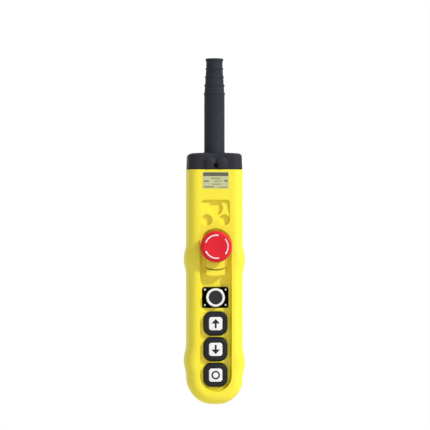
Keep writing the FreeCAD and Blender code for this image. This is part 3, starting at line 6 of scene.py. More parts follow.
import bmesh
import bpy
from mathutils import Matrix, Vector


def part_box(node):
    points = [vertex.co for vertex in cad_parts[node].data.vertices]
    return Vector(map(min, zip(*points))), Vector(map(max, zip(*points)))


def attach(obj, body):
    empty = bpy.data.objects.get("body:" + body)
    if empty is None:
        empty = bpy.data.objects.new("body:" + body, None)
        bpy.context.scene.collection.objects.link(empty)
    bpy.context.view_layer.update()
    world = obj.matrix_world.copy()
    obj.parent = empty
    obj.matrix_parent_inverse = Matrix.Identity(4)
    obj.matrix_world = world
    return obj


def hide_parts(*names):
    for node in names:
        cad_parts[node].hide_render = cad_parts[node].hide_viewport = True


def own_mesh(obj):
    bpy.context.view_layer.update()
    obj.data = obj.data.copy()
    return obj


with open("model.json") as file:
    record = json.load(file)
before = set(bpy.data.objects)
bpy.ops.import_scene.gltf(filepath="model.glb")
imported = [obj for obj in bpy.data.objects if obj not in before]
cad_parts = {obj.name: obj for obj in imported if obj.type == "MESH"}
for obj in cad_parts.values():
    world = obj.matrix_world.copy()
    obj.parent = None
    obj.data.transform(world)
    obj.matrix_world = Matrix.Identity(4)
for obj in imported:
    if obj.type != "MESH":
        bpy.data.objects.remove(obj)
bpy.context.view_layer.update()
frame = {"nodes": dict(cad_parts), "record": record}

bpy.context.scene.view_settings.view_transform = "Standard"

MM = 0.001

# Places along the pendant, in millimetres from the boot's mouth
CAP_TOP = -120.7
FLANGE_TOP = -123.7
CAP_SCREW_Z = -137.6
CAP_FOOT = -141.7
PLATE_Z = -156.25
STOP_Z = -240.4
START_Z = -305.3
BUTTON_Z = {"forward": -338.5, "reverse": -371.2, "stop": -403.9}
FLOOR_Z = -512.0

# Depths, in millimetres behind the boot's axis, so the front is negative
PLATE_FRONT = -24.2
TILE_FRONT = -22.6
SHELL_SEAM = 8.0


# Colour

def srgb(code):
    """Linear colour with full alpha from a hex code."""
    values = [int(code[k:k + 2], 16) / 255 for k in (0, 2, 4)]
    linear = [v / 12.92 if v <= 0.04045 else ((v + 0.055) / 1.055) ** 2.4 for v in values]
    return (*linear, 1.0)


# Materials

MOTTLE_MM = 18.0      # size of the cloudy patches in a moulding's colour
SEAM_HALF_MM = 0.3    # half the width of the painted shade line along the joint of two mouldings


def node(tree, kind, settings=None, links=None):
    """Adds one shader node, sets its inputs and properties, and links sockets into it."""
    made = tree.nodes.new(kind)
    for key, value in (settings or {}).items():
        if isinstance(key, str) and hasattr(made, key) and key not in made.inputs:
            setattr(made, key, value)
        else:
            made.inputs[key].default_value = value
    for key, source in (links or {}).items():
        tree.links.new(source, made.inputs[key])
    return made


def new_material(name):
    """Empty material and its node tree."""
    made = bpy.data.materials.new(name)
    made.use_nodes = True
    made.node_tree.nodes.clear()
    return made, made.node_tree


def finish_surface(tree, settings, colour, rough, bump):
    """Surface shader from its settings and from the nodes for colour, roughness and relief."""
    surface = node(tree, "ShaderNodeBsdfPrincipled", settings,
                   {"Base Color": colour.outputs[2], "Roughness": rough.outputs["Result"],
                    "Normal": bump.outputs["Normal"]})
    node(tree, "ShaderNodeOutputMaterial", {}, {"Surface": surface.outputs["BSDF"]})


def moulded(name, light, dark, rough, grain_mm, grain, ior=1.53, shine=0.5, rough_span=0.08,
            seam_shade=None):
    """Moulded plastic or rubber: the mould's grain, faint cloudiness and an uneven gloss.

    grain_mm is the width of one grain and grain its height, both in millimetres; seam_shade is the
    depth of the joint line between two mouldings, in millimetres, and the colour of the painted
    shade drawn along it in place of the joint's shadow."""
    made, tree = new_material(name)
    place = node(tree, "ShaderNodeTexCoord").outputs["Object"]
    mottle = node(tree, "ShaderNodeTexNoise", {"Scale": 1000 / MOTTLE_MM, "Detail": 3.0},
                  {"Vector": place})
    tone = node(tree, "ShaderNodeMix", {"data_type": "RGBA", 6: srgb(dark), 7: srgb(light)},
                {0: mottle.outputs["Fac"]})
    # painted shade: a darker line along the shells' joint, standing in for the shadow there
    if seam_shade:
        depth = node(tree, "ShaderNodeSeparateXYZ", {}, {0: place}).outputs["Y"]
        line = node(tree, "ShaderNodeMath",
                    {"operation": "COMPARE", 1: seam_shade[0] * MM, 2: SEAM_HALF_MM * MM}, {0: depth})
        tone = node(tree, "ShaderNodeMix", {"data_type": "RGBA", 7: srgb(seam_shade[1])},
                    {0: line.outputs[0], 6: tone.outputs[2]})
    fine = node(tree, "ShaderNodeTexNoise", {"Scale": 1000 / grain_mm, "Detail": 2.0},
                {"Vector": place})
    gloss = node(tree, "ShaderNodeMapRange",
                 {"To Min": rough - rough_span, "To Max": rough + rough_span},
                 {"Value": fine.outputs["Fac"]})
    bump = node(tree, "ShaderNodeBump", {"Strength": 1.0, "Distance": grain * MM},
                {"Height": fine.outputs["Fac"]})
    finish_surface(tree, {"IOR": ior, "Specular IOR Level": shine}, tone, gloss, bump)
    return made


def metal(name, light, dark, rough, line_mm, line, stretch=(1.0, 1.0, 1.0)):
    """Bare or plated metal: fine tool lines and an uneven polish.

    line_mm is the width of one line and line its height, both in millimetres; stretch draws the
    lines out along an axis where it is below 1."""
    made, tree = new_material(name)
    place = node(tree, "ShaderNodeTexCoord").outputs["Object"]
    lay = node(tree, "ShaderNodeMapping", {"Scale": stretch}, {"Vector": place})
    lines = node(tree, "ShaderNodeTexNoise", {"Scale": 1000 / line_mm, "Detail": 3.0},
                 {"Vector": lay.outputs["Vector"]})
    tone = node(tree, "ShaderNodeMix", {"data_type": "RGBA", 6: srgb(dark), 7: srgb(light)},
                {0: lines.outputs["Fac"]})
    gloss = node(tree, "ShaderNodeMapRange", {"To Min": rough * 0.7, "To Max": rough * 1.4},
                 {"Value": lines.outputs["Fac"]})
    bump = node(tree, "ShaderNodeBump", {"Strength": 1.0, "Distance": line * MM},
                {"Height": lines.outputs["Fac"]})
    finish_surface(tree, {"Metallic": 1.0}, tone, gloss, bump)
    return made


# The real spark grain of these mouldings is about 0.1 mm, too fine to show in the picture, so each
# one is drawn several times as coarse, and low.

# ABS, moulded in safety yellow: an even, satin skin, with a thin line of painted shade where the
# shells meet, in place of the joint's shadow
yellow_abs = moulded("yellow moulded ABS", "F9E81E", "F6E41C", 0.5, 0.9, 0.02, shine=0.8,
                     seam_shade=(SHELL_SEAM, "8F8420"))
# Glass-filled nylon, moulded: nearly black, hardly any shine
black_nylon = moulded("black moulded nylon", "2E2F36", "27282E", 0.62, 0.8, 0.03, shine=0.15)
# Natural rubber, moulded: a dull blue-grey black that goes flat where light grazes it
boot_rubber = moulded("black moulded rubber", "33363D", "2C2F35", 0.68, 0.7, 0.03, ior=1.52,
                      shine=0.1)
# Silicone rubber, moulded: smoother and blacker than the boot
button_rubber = moulded("black moulded silicone", "212126", "1A1A1E", 0.5, 0.6, 0.015, ior=1.41,
                        shine=0.3)
# ABS, moulded in red against a polished face: a broad, soft shine
red_plastic = moulded("red moulded ABS", "E61C2F", "DC1829", 0.6, 1.4, 0.004, shine=0.25,
                      rough_span=0.05)
# Paint rubbed into the head's grooves: flat white
white_fill = moulded("white paint fill", "F2F0EE", "E8E6E4", 0.5, 0.5, 0.004)
# Acetal, moulded: a clean white with a slight gloss
white_tile = moulded("white moulded acetal", "F4F4F4", "EEEEED", 0.35, 0.6, 0.004, ior=1.48)
# Screen ink: matt black
black_print = moulded("black screen ink", "17171A", "121215", 0.55, 0.4, 0.002, shine=0.3)
# ABS, moulded in black with a fine satin face
dark_plastic = moulded("black satin ABS", "28282D", "222227", 0.4, 0.9, 0.006, shine=0.25,
                       rough_span=0.05)
# Phenolic of the contact sets: brown-black, with a slight gloss
phenolic = moulded("black moulded phenolic", "2A2826", "211F1D", 0.5, 0.6, 0.02, ior=1.6)
# Powder coat on sheet steel: the blackest part, with no shine
black_coat = moulded("black powder coat", "050406", "030204", 0.65, 0.5, 0.006, shine=0.02)
# Anodised aluminium sheet under a clear print: pale straw
pale_sheet = moulded("pale anodised sheet", "C6C897", "BEC08F", 0.4, 0.5, 0.004)
# Screen ink: dull olive for the band
olive_print = moulded("olive screen ink", "5F5E49", "575642", 0.5, 0.5, 0.003)
# Screen ink: lighter and greyer for the ruled fields
grey_print = moulded("grey screen ink", "6C6B55", "62614C", 0.5, 0.5, 0.003)
# Chrome plate, polished: it shows the white room
chrome = metal("polished chrome plate", "FAFAFB", "F2F3F5", 0.14, 3.0, 0.002)
# Nickel plate: slightly warm, a little duller than chrome
nickel = metal("nickel plated steel", "E6E7E9", "D2D3D6", 0.3, 0.6, 0.003)
# Steel with a black oxide coat: small dark screw heads
black_steel = metal("black oxide steel", "1B1B1E", "121214", 0.5, 0.5, 0.006)
# Zinc plate on pressed steel: grey with long rolling lines
zinc = metal("zinc plated steel", "B9BCC2", "9A9DA4", 0.35, 1.2, 0.006, (1.0, 1.0, 0.2))
# Brass, turned and left bare
brass = metal("turned brass", "C9A457", "B18B41", 0.3, 1.0, 0.004)
# Spring steel, drawn: fine bright wire
spring_wire = metal("drawn spring steel", "A4A5A8", "8B8C90", 0.3, 0.8, 0.004)

SLOT_MATERIALS = {
    "housing_yellow": yellow_abs, "cap_black": black_nylon, "rubber_black": boot_rubber,
    "plate_blank": pale_sheet, "stop_red": red_plastic, "mark_white": white_fill,
    "plate_black": black_coat, "bezel_chrome": chrome, "button_black": button_rubber,
    "legend_white": white_tile, "start_dark": dark_plastic, "contact_plastic": phenolic,
    "rail_steel": zinc, "screw_steel": nickel, "screw_black": black_steel, "brass": brass,
    "spring_steel": spring_wire,
}

slot_of = {part["node"]: part["material_slot"] for part in frame["record"]["subparts"]}
for name, obj in frame["nodes"].items():
    obj.data.materials.clear()
    obj.data.materials.append(SLOT_MATERIALS[slot_of[name]])


# Mesh tools

def piece(name, mesh, material, body, smooth=True, replaces=()):
    """Puts a finished mesh in the scene, on its body and with its finish."""
    made = bpy.data.objects.new(name, mesh)
    bpy.context.collection.objects.link(made)
    mesh.materials.append(material)
    for face in mesh.polygons:
        face.use_smooth = smooth
    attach(made, body)
    if replaces:
        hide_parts(*replaces)
    return made


def mesh_from(bm, name):
    """Mesh from a finished bmesh, with the normals of closed forms turned outwards."""
    made = bpy.data.meshes.new(name)
    bmesh.ops.recalc_face_normals(bm, faces=bm.faces)
    bm.to_mesh(made)
    bm.free()
    return made


def face_forward(mesh):
    """Turns the normals of an open, forward-looking face to the front."""
    if mesh.polygons[0].normal.y > 0:
        mesh.flip_normals()


def bands(bm, rings):
    """Bands of faces from each ring of points to the next; a ring may be a single point."""
    for low, high in zip(rings, rings[1:]):
        count = max(len(low), len(high))
        for k in range(count):
            j = (k + 1) % count
            corners = [low[k % len(low)], low[j % len(low)],
                       high[j % len(high)], high[k % len(high)]]
            distinct = list(dict.fromkeys(corners))
            if len(distinct) > 2:
                bm.faces.new(distinct)


def turned(name, profile, centre, along, sides=128):
    """Mesh turned round an axis along Y or Z; profile is a list of (radius, place) in mm."""
    bm = bmesh.new()
    cx, cy, cz = centre
    rings = []
    for radius, place in profile:
        ring = []
        for k in range(sides if radius > 0 else 1):
            a = 2 * math.pi * k / sides
            u, v = radius * math.cos(a), radius * math.sin(a)
            spot = (cx + u, place, cz + v) if along == "Y" else (cx + u, cy + v, place)
            ring.append(bm.verts.new(Vector(spot) * MM))
        rings.append(ring)
    bands(bm, rings)
    return mesh_from(bm, name)


def smooth_line(points, steps):
    """Points on a smooth curve through the given (radius, place) points, steps to each gap."""
    out = []
    last = len(points) - 1
    for k in range(last):
        p0 = points[max(k - 1, 0)]
        p1 = points[k]
        p2 = points[k + 1]
        p3 = points[min(k + 2, last)]
        for s in range(steps):
            t = s / steps
            spot = []
            for a, b, c, d in zip(p0, p1, p2, p3):
                spot.append(0.5 * (2 * b + (c - a) * t + (2 * a - 5 * b + 4 * c - d) * t * t
                                   + (3 * b - a - 3 * c + d) * t ** 3))
            out.append(tuple(spot))
    out.append(tuple(points[-1]))
    return out


def rounded_square(size_x, size_z, corner):
    """Outline points (x, z) of a rounded rectangle, going round once."""
    per_corner = 10
    points = []
    for k, (sx, sz) in enumerate([(1, 1), (-1, 1), (-1, -1), (1, -1)]):
        for s in range(per_corner + 1):
            a = math.radians(90 * k + 90 * s / per_corner)
            x = sx * (size_x / 2 - corner) + corner * math.cos(a)
            z = sz * (size_z / 2 - corner) + corner * math.sin(a)
            points.append((x, z))
    return points


def stacked(name, layers, centre_x, centre_z):
    """Skin through rounded rectangles at several depths; a layer is (size_x, size_z, corner, y)."""
    bm = bmesh.new()
    rings = []
    for size_x, size_z, corner, y in layers:
        ring = [bm.verts.new(Vector((centre_x + x, y, centre_z + z)) * MM)
                for x, z in rounded_square(size_x, size_z, corner)]
        rings.append(ring)
    bands(bm, rings)
    bm.faces.new(rings[0])
    bm.faces.new(list(reversed(rings[-1])))
    return mesh_from(bm, name)


INK_PROUD = 0.03    # how far a print stands in front of its face, in millimetres


def printed(name, outlines, centre_z, face_y, ink, body):
    """Thin print on a face that looks forward, from outlines given as lists of (x, z)."""
    bm = bmesh.new()
    for outline in outlines:
        bm.faces.new([bm.verts.new(Vector((x, face_y - INK_PROUD, centre_z + z)) * MM)
                      for x, z in outline])
    mesh = mesh_from(bm, "print")
    face_forward(mesh)
    piece(name, mesh, ink, body, smooth=False)


def bar(x0, x1, z0, z1):
    """Outline of an upright rectangle."""
    return [(x0, z0), (x1, z0), (x1, z1), (x0, z1)]


# Camera at the photograph's angle

PHOTO_PIXELS = 430
MM_PER_PIXEL = 1.27
SENSOR_MM = 36.0


def place_camera():
    """Level view from a little left of the front, framed on the photograph's middle."""
    distance = 2300.0
    turn = math.radians(-4.2)
    aim = Vector((-0.98, -24.0, -200.4))
    back = Vector((math.sin(turn), -math.cos(turn), 0))
    data = bpy.data.cameras.new("view")
    made = bpy.data.objects.new("view", data)
    bpy.context.collection.objects.link(made)
    made.location = (aim + back * distance) * MM
    made.rotation_mode = "QUATERNION"
    made.rotation_quaternion = (-back).to_track_quat("-Z", "Y")
    data.sensor_width = SENSOR_MM
    data.lens = SENSOR_MM * distance / (PHOTO_PIXELS * MM_PER_PIXEL)
    data.clip_end = 50.0
    bpy.context.scene.camera = made


# Light: one lamp from the upper right front, and an even white surround

LAMP_STRENGTH = 2.58
LAMP_HEADING = (-1.3, 1.0, -1.15)
LAMP_SPREAD = 6.0    # degrees; it softens the shadows' edges
SURROUND_FILL = 0.415


def place_lights():
    """The lamp, and a surround that looks pure white but lights the object less than that."""
    sun = bpy.data.lights.new("key", "SUN")
    sun.energy = LAMP_STRENGTH
    sun.angle = math.radians(LAMP_SPREAD)
    made = bpy.data.objects.new("key", sun)
    bpy.context.collection.objects.link(made)
    made.rotation_mode = "QUATERNION"
    made.rotation_quaternion = Vector(LAMP_HEADING).to_track_quat("-Z", "Y")
    world = bpy.data.worlds.new("surround")
    bpy.context.scene.world = world
    world.use_nodes = True
    tree = world.node_tree
    tree.nodes.clear()
    path = node(tree, "ShaderNodeLightPath")
    seen = node(tree, "ShaderNodeMath", {"operation": "MAXIMUM"},
                {0: path.outputs["Is Camera Ray"], 1: path.outputs["Is Glossy Ray"]})
    seen = node(tree, "ShaderNodeMath", {"operation": "MAXIMUM"},
                {0: seen.outputs[0], 1: path.outputs["Is Transmission Ray"]})
    fill = node(tree, "ShaderNodeBackground", {"Color": (1, 1, 1, 1), "Strength": SURROUND_FILL})
    white = node(tree, "ShaderNodeBackground", {"Color": (1, 1, 1, 1), "Strength": 1.0})
    both = node(tree, "ShaderNodeMixShader", {},
                {0: seen.outputs[0], 1: fill.outputs[0], 2: white.outputs[0]})
    node(tree, "ShaderNodeOutputWorld", {}, {"Surface": both.outputs[0]})


# Floor, in metres: it fades into the white between these distances from its middle

FLOOR_HALF = 3.0
FADE_START = 0.14
FADE_END = 0.30


def place_floor():
    """Pale floor under the hanging pendant, that runs out into the white surround."""
    bm = bmesh.new()
    bmesh.ops.create_grid(bm, x_segments=8, y_segments=8, size=FLOOR_HALF)
    mesh = mesh_from(bm, "floor")
    made = bpy.data.objects.new("floor", mesh)
    made.location = (0, 0, FLOOR_Z * MM)
    bpy.context.collection.objects.link(made)
    material, tree = new_material("matt white floor")
    place = node(tree, "ShaderNodeTexCoord").outputs["Object"]
    reach = node(tree, "ShaderNodeVectorMath", {"operation": "LENGTH"}, {0: place})
    fade = node(tree, "ShaderNodeMapRange",
                {"From Min": FADE_START, "From Max": FADE_END, "interpolation_type": "SMOOTHSTEP"},
                {"Value": reach.outputs["Value"]})
    surface = node(tree, "ShaderNodeBsdfPrincipled",
                   {"Base Color": srgb("F4F4F4"), "Roughness": 0.7})
    path = node(tree, "ShaderNodeLightPath")
    glow = node(tree, "ShaderNodeEmission", {"Color": (1, 1, 1, 1), "Strength": 1.0})
    amount = node(tree, "ShaderNodeMath", {"operation": "MULTIPLY"},
                  {0: fade.outputs["Result"], 1: path.outputs["Is Camera Ray"]})
    mix = node(tree, "ShaderNodeMixShader", {},
               {0: amount.outputs[0], 1: surface.outputs[0], 2: glow.outputs[0]})
    node(tree, "ShaderNodeOutputMaterial", {}, {"Surface": mix.outputs[0]})
    mesh.materials.append(material)


# Cable boot

BOOT_LIP = [
    (7.0, -0.5), (7.25, -0.1), (7.7, 0.0), (10.7, 0.0), (11.15, -0.16), (11.38, -0.6),
    (11.4, -1.9), (11.2, -2.5), (10.8, -3.05), (10.55, -3.8), (10.5, -4.6),
]
BOOT_SLEEVE = [
    (13.1, -60.0), (13.1, -118.6), (13.35, -119.9), (13.9, CAP_TOP), (13.1, CAP_TOP),
    (13.1, FLANGE_TOP), (15.7, FLANGE_TOP), (15.7, -126.7), (7.0, -126.7), (7.0, -0.5),
]
BEADS_PROUD = [1.0, 1.05, 1.2, 1.1]
FIRST_BEAD = -12.95
BEAD_SPACING = 10.75
NECK_STEP = 0.25    # the neck is this much wider under a bead than over it
NECK_GAIN = 0.75    # and this much wider again by the next one, step included


def cable_boot():
    """Rubber boot: rolled lip, four beads on a neck that widens downwards, and a long sleeve."""
    skin = list(BOOT_LIP)
    radius = BOOT_LIP[-1][0]
    for k, proud in enumerate(BEADS_PROUD):
        place = FIRST_BEAD - BEAD_SPACING * k
        under = radius + NECK_STEP
        crest = radius + proud
        skin += [(radius, place + 1.9), (radius + 0.15, place + 1.25), (crest - 0.22, place + 0.75),
                 (crest, place + 0.25), (crest, place - 0.2), (crest - 0.2, place - 0.72),
                 (under + 0.12, place - 1.2), (under, place - 1.9)]
        radius += NECK_GAIN
    mesh = turned("boot", skin + BOOT_SLEEVE, (0, 0, 0), "Z")
    piece("boot_skin", mesh, boot_rubber, "housing", replaces=["cable_boot"])


# Cap

CAP_CORNERS = [    # x, y, radius and first angle of each rounded corner, from the right front
    (22.3, -11.0, 12.6, -90), (19.3, 20.0, 15.6, 0), (-19.3, 20.0, 15.6, 90),
    (-22.3, -11.0, 12.6, 180),
]
CAP_FLAT_X = 19.2     # the front and back walls are flat this far from the middle
CAP_SIDE_Y = 20.0     # and the side walls' straight part stays nearer to the axis than this
CAP_WALL = 3.0
CAP_CEILING = -125.5
WALL_HEIGHT = 15.5
WALL_DRAFT = 0.5
EDGE_IN = 4.6
EDGE_UP = 4.5
DOME_RISE = 1.0
BOOT_HOLE = 13.2
SEAT_RADIUS = 2.75
SEAT_FRONT = -21.7
SEAT_BACK = 33.7
LOBE_X = 7.6          # how far a lobe is from the middle, and its half width
LOBE_SHOULDER = -134.1
LOBE_PROUD = 3.2
LOBE_FOOT_SHARE = 0.3    # the lobe's share of its depth at the cap's foot
LOBE_FOOT_RISE = 2.2     # the slope that brings it to the full depth


def cap_outline(inset):
    """Plan of the cap as (x, y) points, this much inside its skin, going round once."""
    spots = []
    for k, (cx, cy, radius, first) in enumerate(CAP_CORNERS):
        for s in range(13):
            a = math.radians(first + 90 * s / 12)
            spots.append((cx + (radius - inset) * math.cos(a), cy + (radius - inset) * math.sin(a)))
        last_x, last_y = spots[-1]
        next_x, next_y, radius, first = CAP_CORNERS[(k + 1) % 4]
        a = math.radians(first)
        next_x += (radius - inset) * math.cos(a)
        next_y += (radius - inset) * math.sin(a)
        count = 90 if k in (1, 3) else 8    # the back and front walls carry the relief
        for s in range(1, count):
            spots.append((last_x + (next_x - last_x) * s / count,
                          last_y + (next_y - last_y) * s / count))
    return spots


def cap_relief(x, y, z):
    """Depth of a point of the cap's wall, with the two lobes and the screws' sunk seats."""
    if math.hypot(x, z - CAP_SCREW_Z) < SEAT_RADIUS:
        return SEAT_FRONT if y < 0 else SEAT_BACK
    if y > 0:
        return y
    proud = 0.0
    rounded_under = min(1.0, LOBE_FOOT_SHARE + (z - CAP_FOOT) / LOBE_FOOT_RISE)
    for side in (-1, 1):
        away = math.hypot(x - side * LOBE_X, max(0.0, z - LOBE_SHOULDER)) / LOBE_X
        if away < 1:
            proud = max(proud, LOBE_PROUD * rounded_under * (1 - away ** 2) ** 0.8)
    return y - proud


def top_cap():
    """Black cap: drafted wall, rolled edge, softly domed top, and two bullet-shaped lobes."""
    bm = bmesh.new()
    rings = []

    def add(spots, z):
        rings.append([bm.verts.new(Vector((x, y, z)) * MM) for x, y in spots])

    steps = 30
    for s in range(steps + 1):
        z = CAP_FOOT + WALL_HEIGHT * s / steps
        wall = cap_outline(WALL_DRAFT * s / steps)
        add([(x, cap_relief(x, y, z) if abs(y) > CAP_SIDE_Y and abs(x) < CAP_FLAT_X else y)
             for x, y in wall], z)
    for s in range(1, 9):
        a = math.radians(90 * s / 8)
        add(cap_outline(WALL_DRAFT + EDGE_IN * (1 - math.cos(a))),
            CAP_FOOT + WALL_HEIGHT + EDGE_UP * math.sin(a))
    edge = cap_outline(WALL_DRAFT + EDGE_IN)
    for s in range(1, 7):
        t = s / 6
        spots = []
        for x, y in edge:
            to_hole = BOOT_HOLE / math.hypot(x, y) - 1
            spots.append((x * (1 + to_hole * t), y * (1 + to_hole * t)))
        add(spots, CAP_TOP - DOME_RISE * (1 - t) ** 2)
    add(spots, FLANGE_TOP)
    add(cap_outline(CAP_WALL), CAP_CEILING)
    add(cap_outline(CAP_WALL), CAP_FOOT)
    rings.append(rings[0])
    bands(bm, rings)
    piece("cap_skin", mesh_from(bm, "cap"), black_nylon, "housing",
          replaces=["top_cap"])


# Stop head

HEAD_CURVE = smooth_line([
    (0.0, -36.95), (3.5, -36.98), (7.0, -37.12), (10.0, -37.36), (12.2, -37.56), (12.9, -37.52),
    (13.3, -37.42), (13.7, -37.62), (14.4, -37.8), (15.4, -37.82), (16.5, -37.68), (17.6, -37.25),
    (18.7, -36.35), (19.55, -34.8), (20.0, -32.8), (19.85, -31.5), (19.2, -30.6), (18.3, -30.15),
    (16.9, -30.15), (14.0, -31.0), (10.5, -32.0), (8.7, -32.5),
], 5)
HEAD_NECK = [(8.7, -32.4), (8.7, -17.3), (6.1, -17.3), (6.1, -33.8), (0, -33.8)]
MARK_STARTS = [160.5, 41.5, -76.8]    # degrees
MARK_SWEEP = 82.0
MARK_RADIUS = 14.55
MARK_HALF = 0.72
MARK_PROUD = 0.05
TAIL_NARROW = 0.6     # the band starts at this share of its width
TAIL_END = 0.04       # and has all of it at this share of the sweep
POINT_START = 0.86
POINT_HALF = 1.2
POINT_BLUNT = 0.05


def head_depth(radius):
    """Depth of the head's face at a distance from its axis, in millimetres."""
    (r0, y0), (r1, y1) = next((near, far) for near, far in zip(HEAD_CURVE, HEAD_CURVE[1:])
                              if near[0] <= radius < far[0])
    return y0 + (y1 - y0) * (radius - r0) / (r1 - r0)


def stop_head():
    """Red mushroom head: dished face, fine crease, rolled shoulder and a hollow under the rim."""
    mesh = turned("head", HEAD_CURVE + HEAD_NECK, (0, 0, STOP_Z), "Y")
    piece("stop_head", mesh, red_plastic, "estop_knob", replaces=["estop_head"])


def mark_half(t):
    """Half the width of a mark at a share of its sweep: tail, even band, blunt point."""
    if t > POINT_START:
        return POINT_HALF * math.sqrt((1 - t) / (1 - POINT_START)) + POINT_BLUNT
    if t < TAIL_END:
        return MARK_HALF * (TAIL_NARROW + (1 - TAIL_NARROW) * t / TAIL_END)
    return MARK_HALF


def release_mark(count):
    """White curved arrow on the shoulder, that points clockwise."""
    steps = 48
    bm = bmesh.new()
    rows = []
    for s in range(steps + 1):
        t = s / steps
        angle = math.radians(MARK_STARTS[count] - MARK_SWEEP * t)
        row = []
        for edge in (-1, -0.5, 0, 0.5, 1):
            radius = MARK_RADIUS + edge * mark_half(t)
            spot = Vector((radius * math.cos(angle), head_depth(radius) - MARK_PROUD,
                           radius * math.sin(angle) + STOP_Z))
            row.append(bm.verts.new(spot * MM))
        rows.append(row)
    for low, high in zip(rows, rows[1:]):
        for j in range(4):
            bm.faces.new([low[j], low[j + 1], high[j + 1], high[j]])
    mesh = mesh_from(bm, "mark")
    face_forward(mesh)
    piece("release_mark_%d" % (count + 1), mesh, white_fill, "estop_knob",
          replaces=["estop_marks"] if count == 0 else ())


# Start button

PLATE_SCREWS = [(x, START_Z + z) for x in (-13.25, 13.25) for z in (-9.8, 9.8)]
SCREW_SEAT = -15.6
SCREW_RADIUS = 1.5
SCREW_DOME = 0.9
CROSS_DEEP = 0.38
CROSS_HALF = 0.24     # half the width of an arm of the cross
CROSS_REACH = 0.66    # the arms' length as a share of the radius


def start_ring():
    """Bright ring with a broad, slightly crowned face and a plain bore."""
    profile = [(8.1, -15.6), (11.95, -15.6), (11.95, -20.9), (11.9, -21.3), (11.75, -21.62),
               (11.45, -21.83), (10.9, -21.94), (10.3, -22.0), (9.7, -21.98), (9.2, -21.9),
               (8.9, -21.72), (8.7, -21.4), (8.65, -21.0), (8.65, -16.8), (8.1, -16.8),
               (8.1, -15.6)]
    mesh = turned("ring", profile, (0, 0, START_Z), "Y")
    piece("start_ring", mesh, chrome, "housing", replaces=["bezel_ring"])


def start_face():
    """Dark push face, slightly hollow in the middle."""
    profile = [(0, -20.95), (3.0, -20.98), (5.6, -21.08), (7.2, -21.18), (7.9, -21.2),
               (8.2, -21.1), (8.34, -20.8), (8.35, -20.0), (0, -20.0)]
    mesh = turned("face", profile, (0, 0, START_Z), "Y", 96)
    piece("start_face", mesh, dark_plastic, "start_push", replaces=["start_button"])


def plate_screw(count, x, z):
    """Small domed nickel screw with a cross recess."""
    bm = bmesh.new()
    rows, sides = 7, 40
    rings = []
    for r in range(rows + 1):
        share = r / rows
        ring = []
        for j in range(sides if r else 1):
            a = 2 * math.pi * j / sides
            u, v = SCREW_RADIUS * share * math.cos(a), SCREW_RADIUS * share * math.sin(a)
            y = SCREW_SEAT - SCREW_DOME * math.sqrt(1 - share ** 2.6)
            if share < CROSS_REACH and min(abs(u), abs(v)) < CROSS_HALF:
                y += CROSS_DEEP
            ring.append(bm.verts.new(Vector((x + u, y, z + v)) * MM))
        rings.append(ring)
    bands(bm, rings)
    piece("plate_screw_%d" % count, mesh_from(bm, "screw"), nickel, "housing",
          replaces=["adapter_screws"] if count == 1 else ())


# Rubber buttons with white tiles; a layer is its two sizes, its corner and its depth

LIP_LAYERS = [
    (17.2, 17.0, 3.5, -21.2), (17.2, 17.0, 3.5, -22.2), (17.6, 17.4, 3.7, -22.42),
    (18.4, 18.2, 4.0, -22.3), (20.5, 20.4, 5.0, -22.22),
]
SHOULDER_LAYERS = [
    (24.2, 24.2, 6.8, -22.26), (25.0, 25.0, 7.2, -22.3), (25.8, 25.8, 7.6, -22.2),
    (27.2, 27.2, 8.4, -21.6), (28.9, 28.9, 9.2, -20.5), (30.0, 30.0, 9.75, -19.5),
    (30.4, 30.4, 9.95, -18.7), (30.5, 30.5, 10.0, -18.1), (30.3, 30.3, 9.9, -17.6),
    (17.2, 17.2, 8.5, -17.6),
]
TILE_LAYERS = [
    (16.1, 15.9, 3.0, TILE_FRONT), (16.6, 16.4, 3.2, -22.56), (16.9, 16.7, 3.35, -22.4),
    (17.0, 16.8, 3.4, -22.2), (17.0, 16.8, 3.4, -21.15),
]


def push_cap(name):
    """Rubber cap: rounded square, rolled shoulder, and a raised lip round the tile's pocket."""
    mesh = stacked("cap", LIP_LAYERS + SHOULDER_LAYERS, 0, BUTTON_Z[name])
    piece(name + "_cap", mesh, button_rubber, name + "_push",
          replaces=[name + "_button"])


def tile(name):
    """White tile with softened edges."""
    mesh = stacked("tile", TILE_LAYERS, 0, BUTTON_Z[name])
    piece(name + "_tile", mesh, white_tile, name + "_push",
          replaces=[name + "_legend"])


def arrow(up):
    """Plain arrow, up or down."""
    points = [(-1.2, -5.9), (1.2, -5.9), (1.2, 0.1), (5.4, 0.1), (0, 6.1), (-5.4, 0.1), (-1.2, 0.1)]
    return [[(x, z if up else -z) for x, z in points]]


def open_ring():
    """Plain ring, the usual sign for off."""
    steps = 48
    outlines = []
    for s in range(steps):
        a, b = 2 * math.pi * s / steps, 2 * math.pi * (s + 1) / steps
        outlines.append([(r * math.cos(t), r * math.sin(t))
                         for r, t in ((3.5, a), (5.5, a), (5.5, b), (3.5, b))])
    return outlines


# Frame round the rubber buttons

SURROUND_TOP = -319.0
SURROUND_END = -404.6
SURROUND_HALF = 19.3
SURROUND_FRONT = -16.4
SURROUND_BACK = -15.4
OPENING = 31.0
OPENING_CORNER = 10.25
EASE_OUT = 0.15    # each opening's edge is eased by this much sideways
EASE_DEEP = 0.2    # and this much in depth
RIB_X = 1.5
RIB_LAYERS = [
    (17.0, 0.6, 0.28, -19.2), (17.8, 1.2, 0.55, -19.0), (18.6, 1.6, 0.75, -18.5),
    (20.0, 1.6, 0.75, -16.0),
]


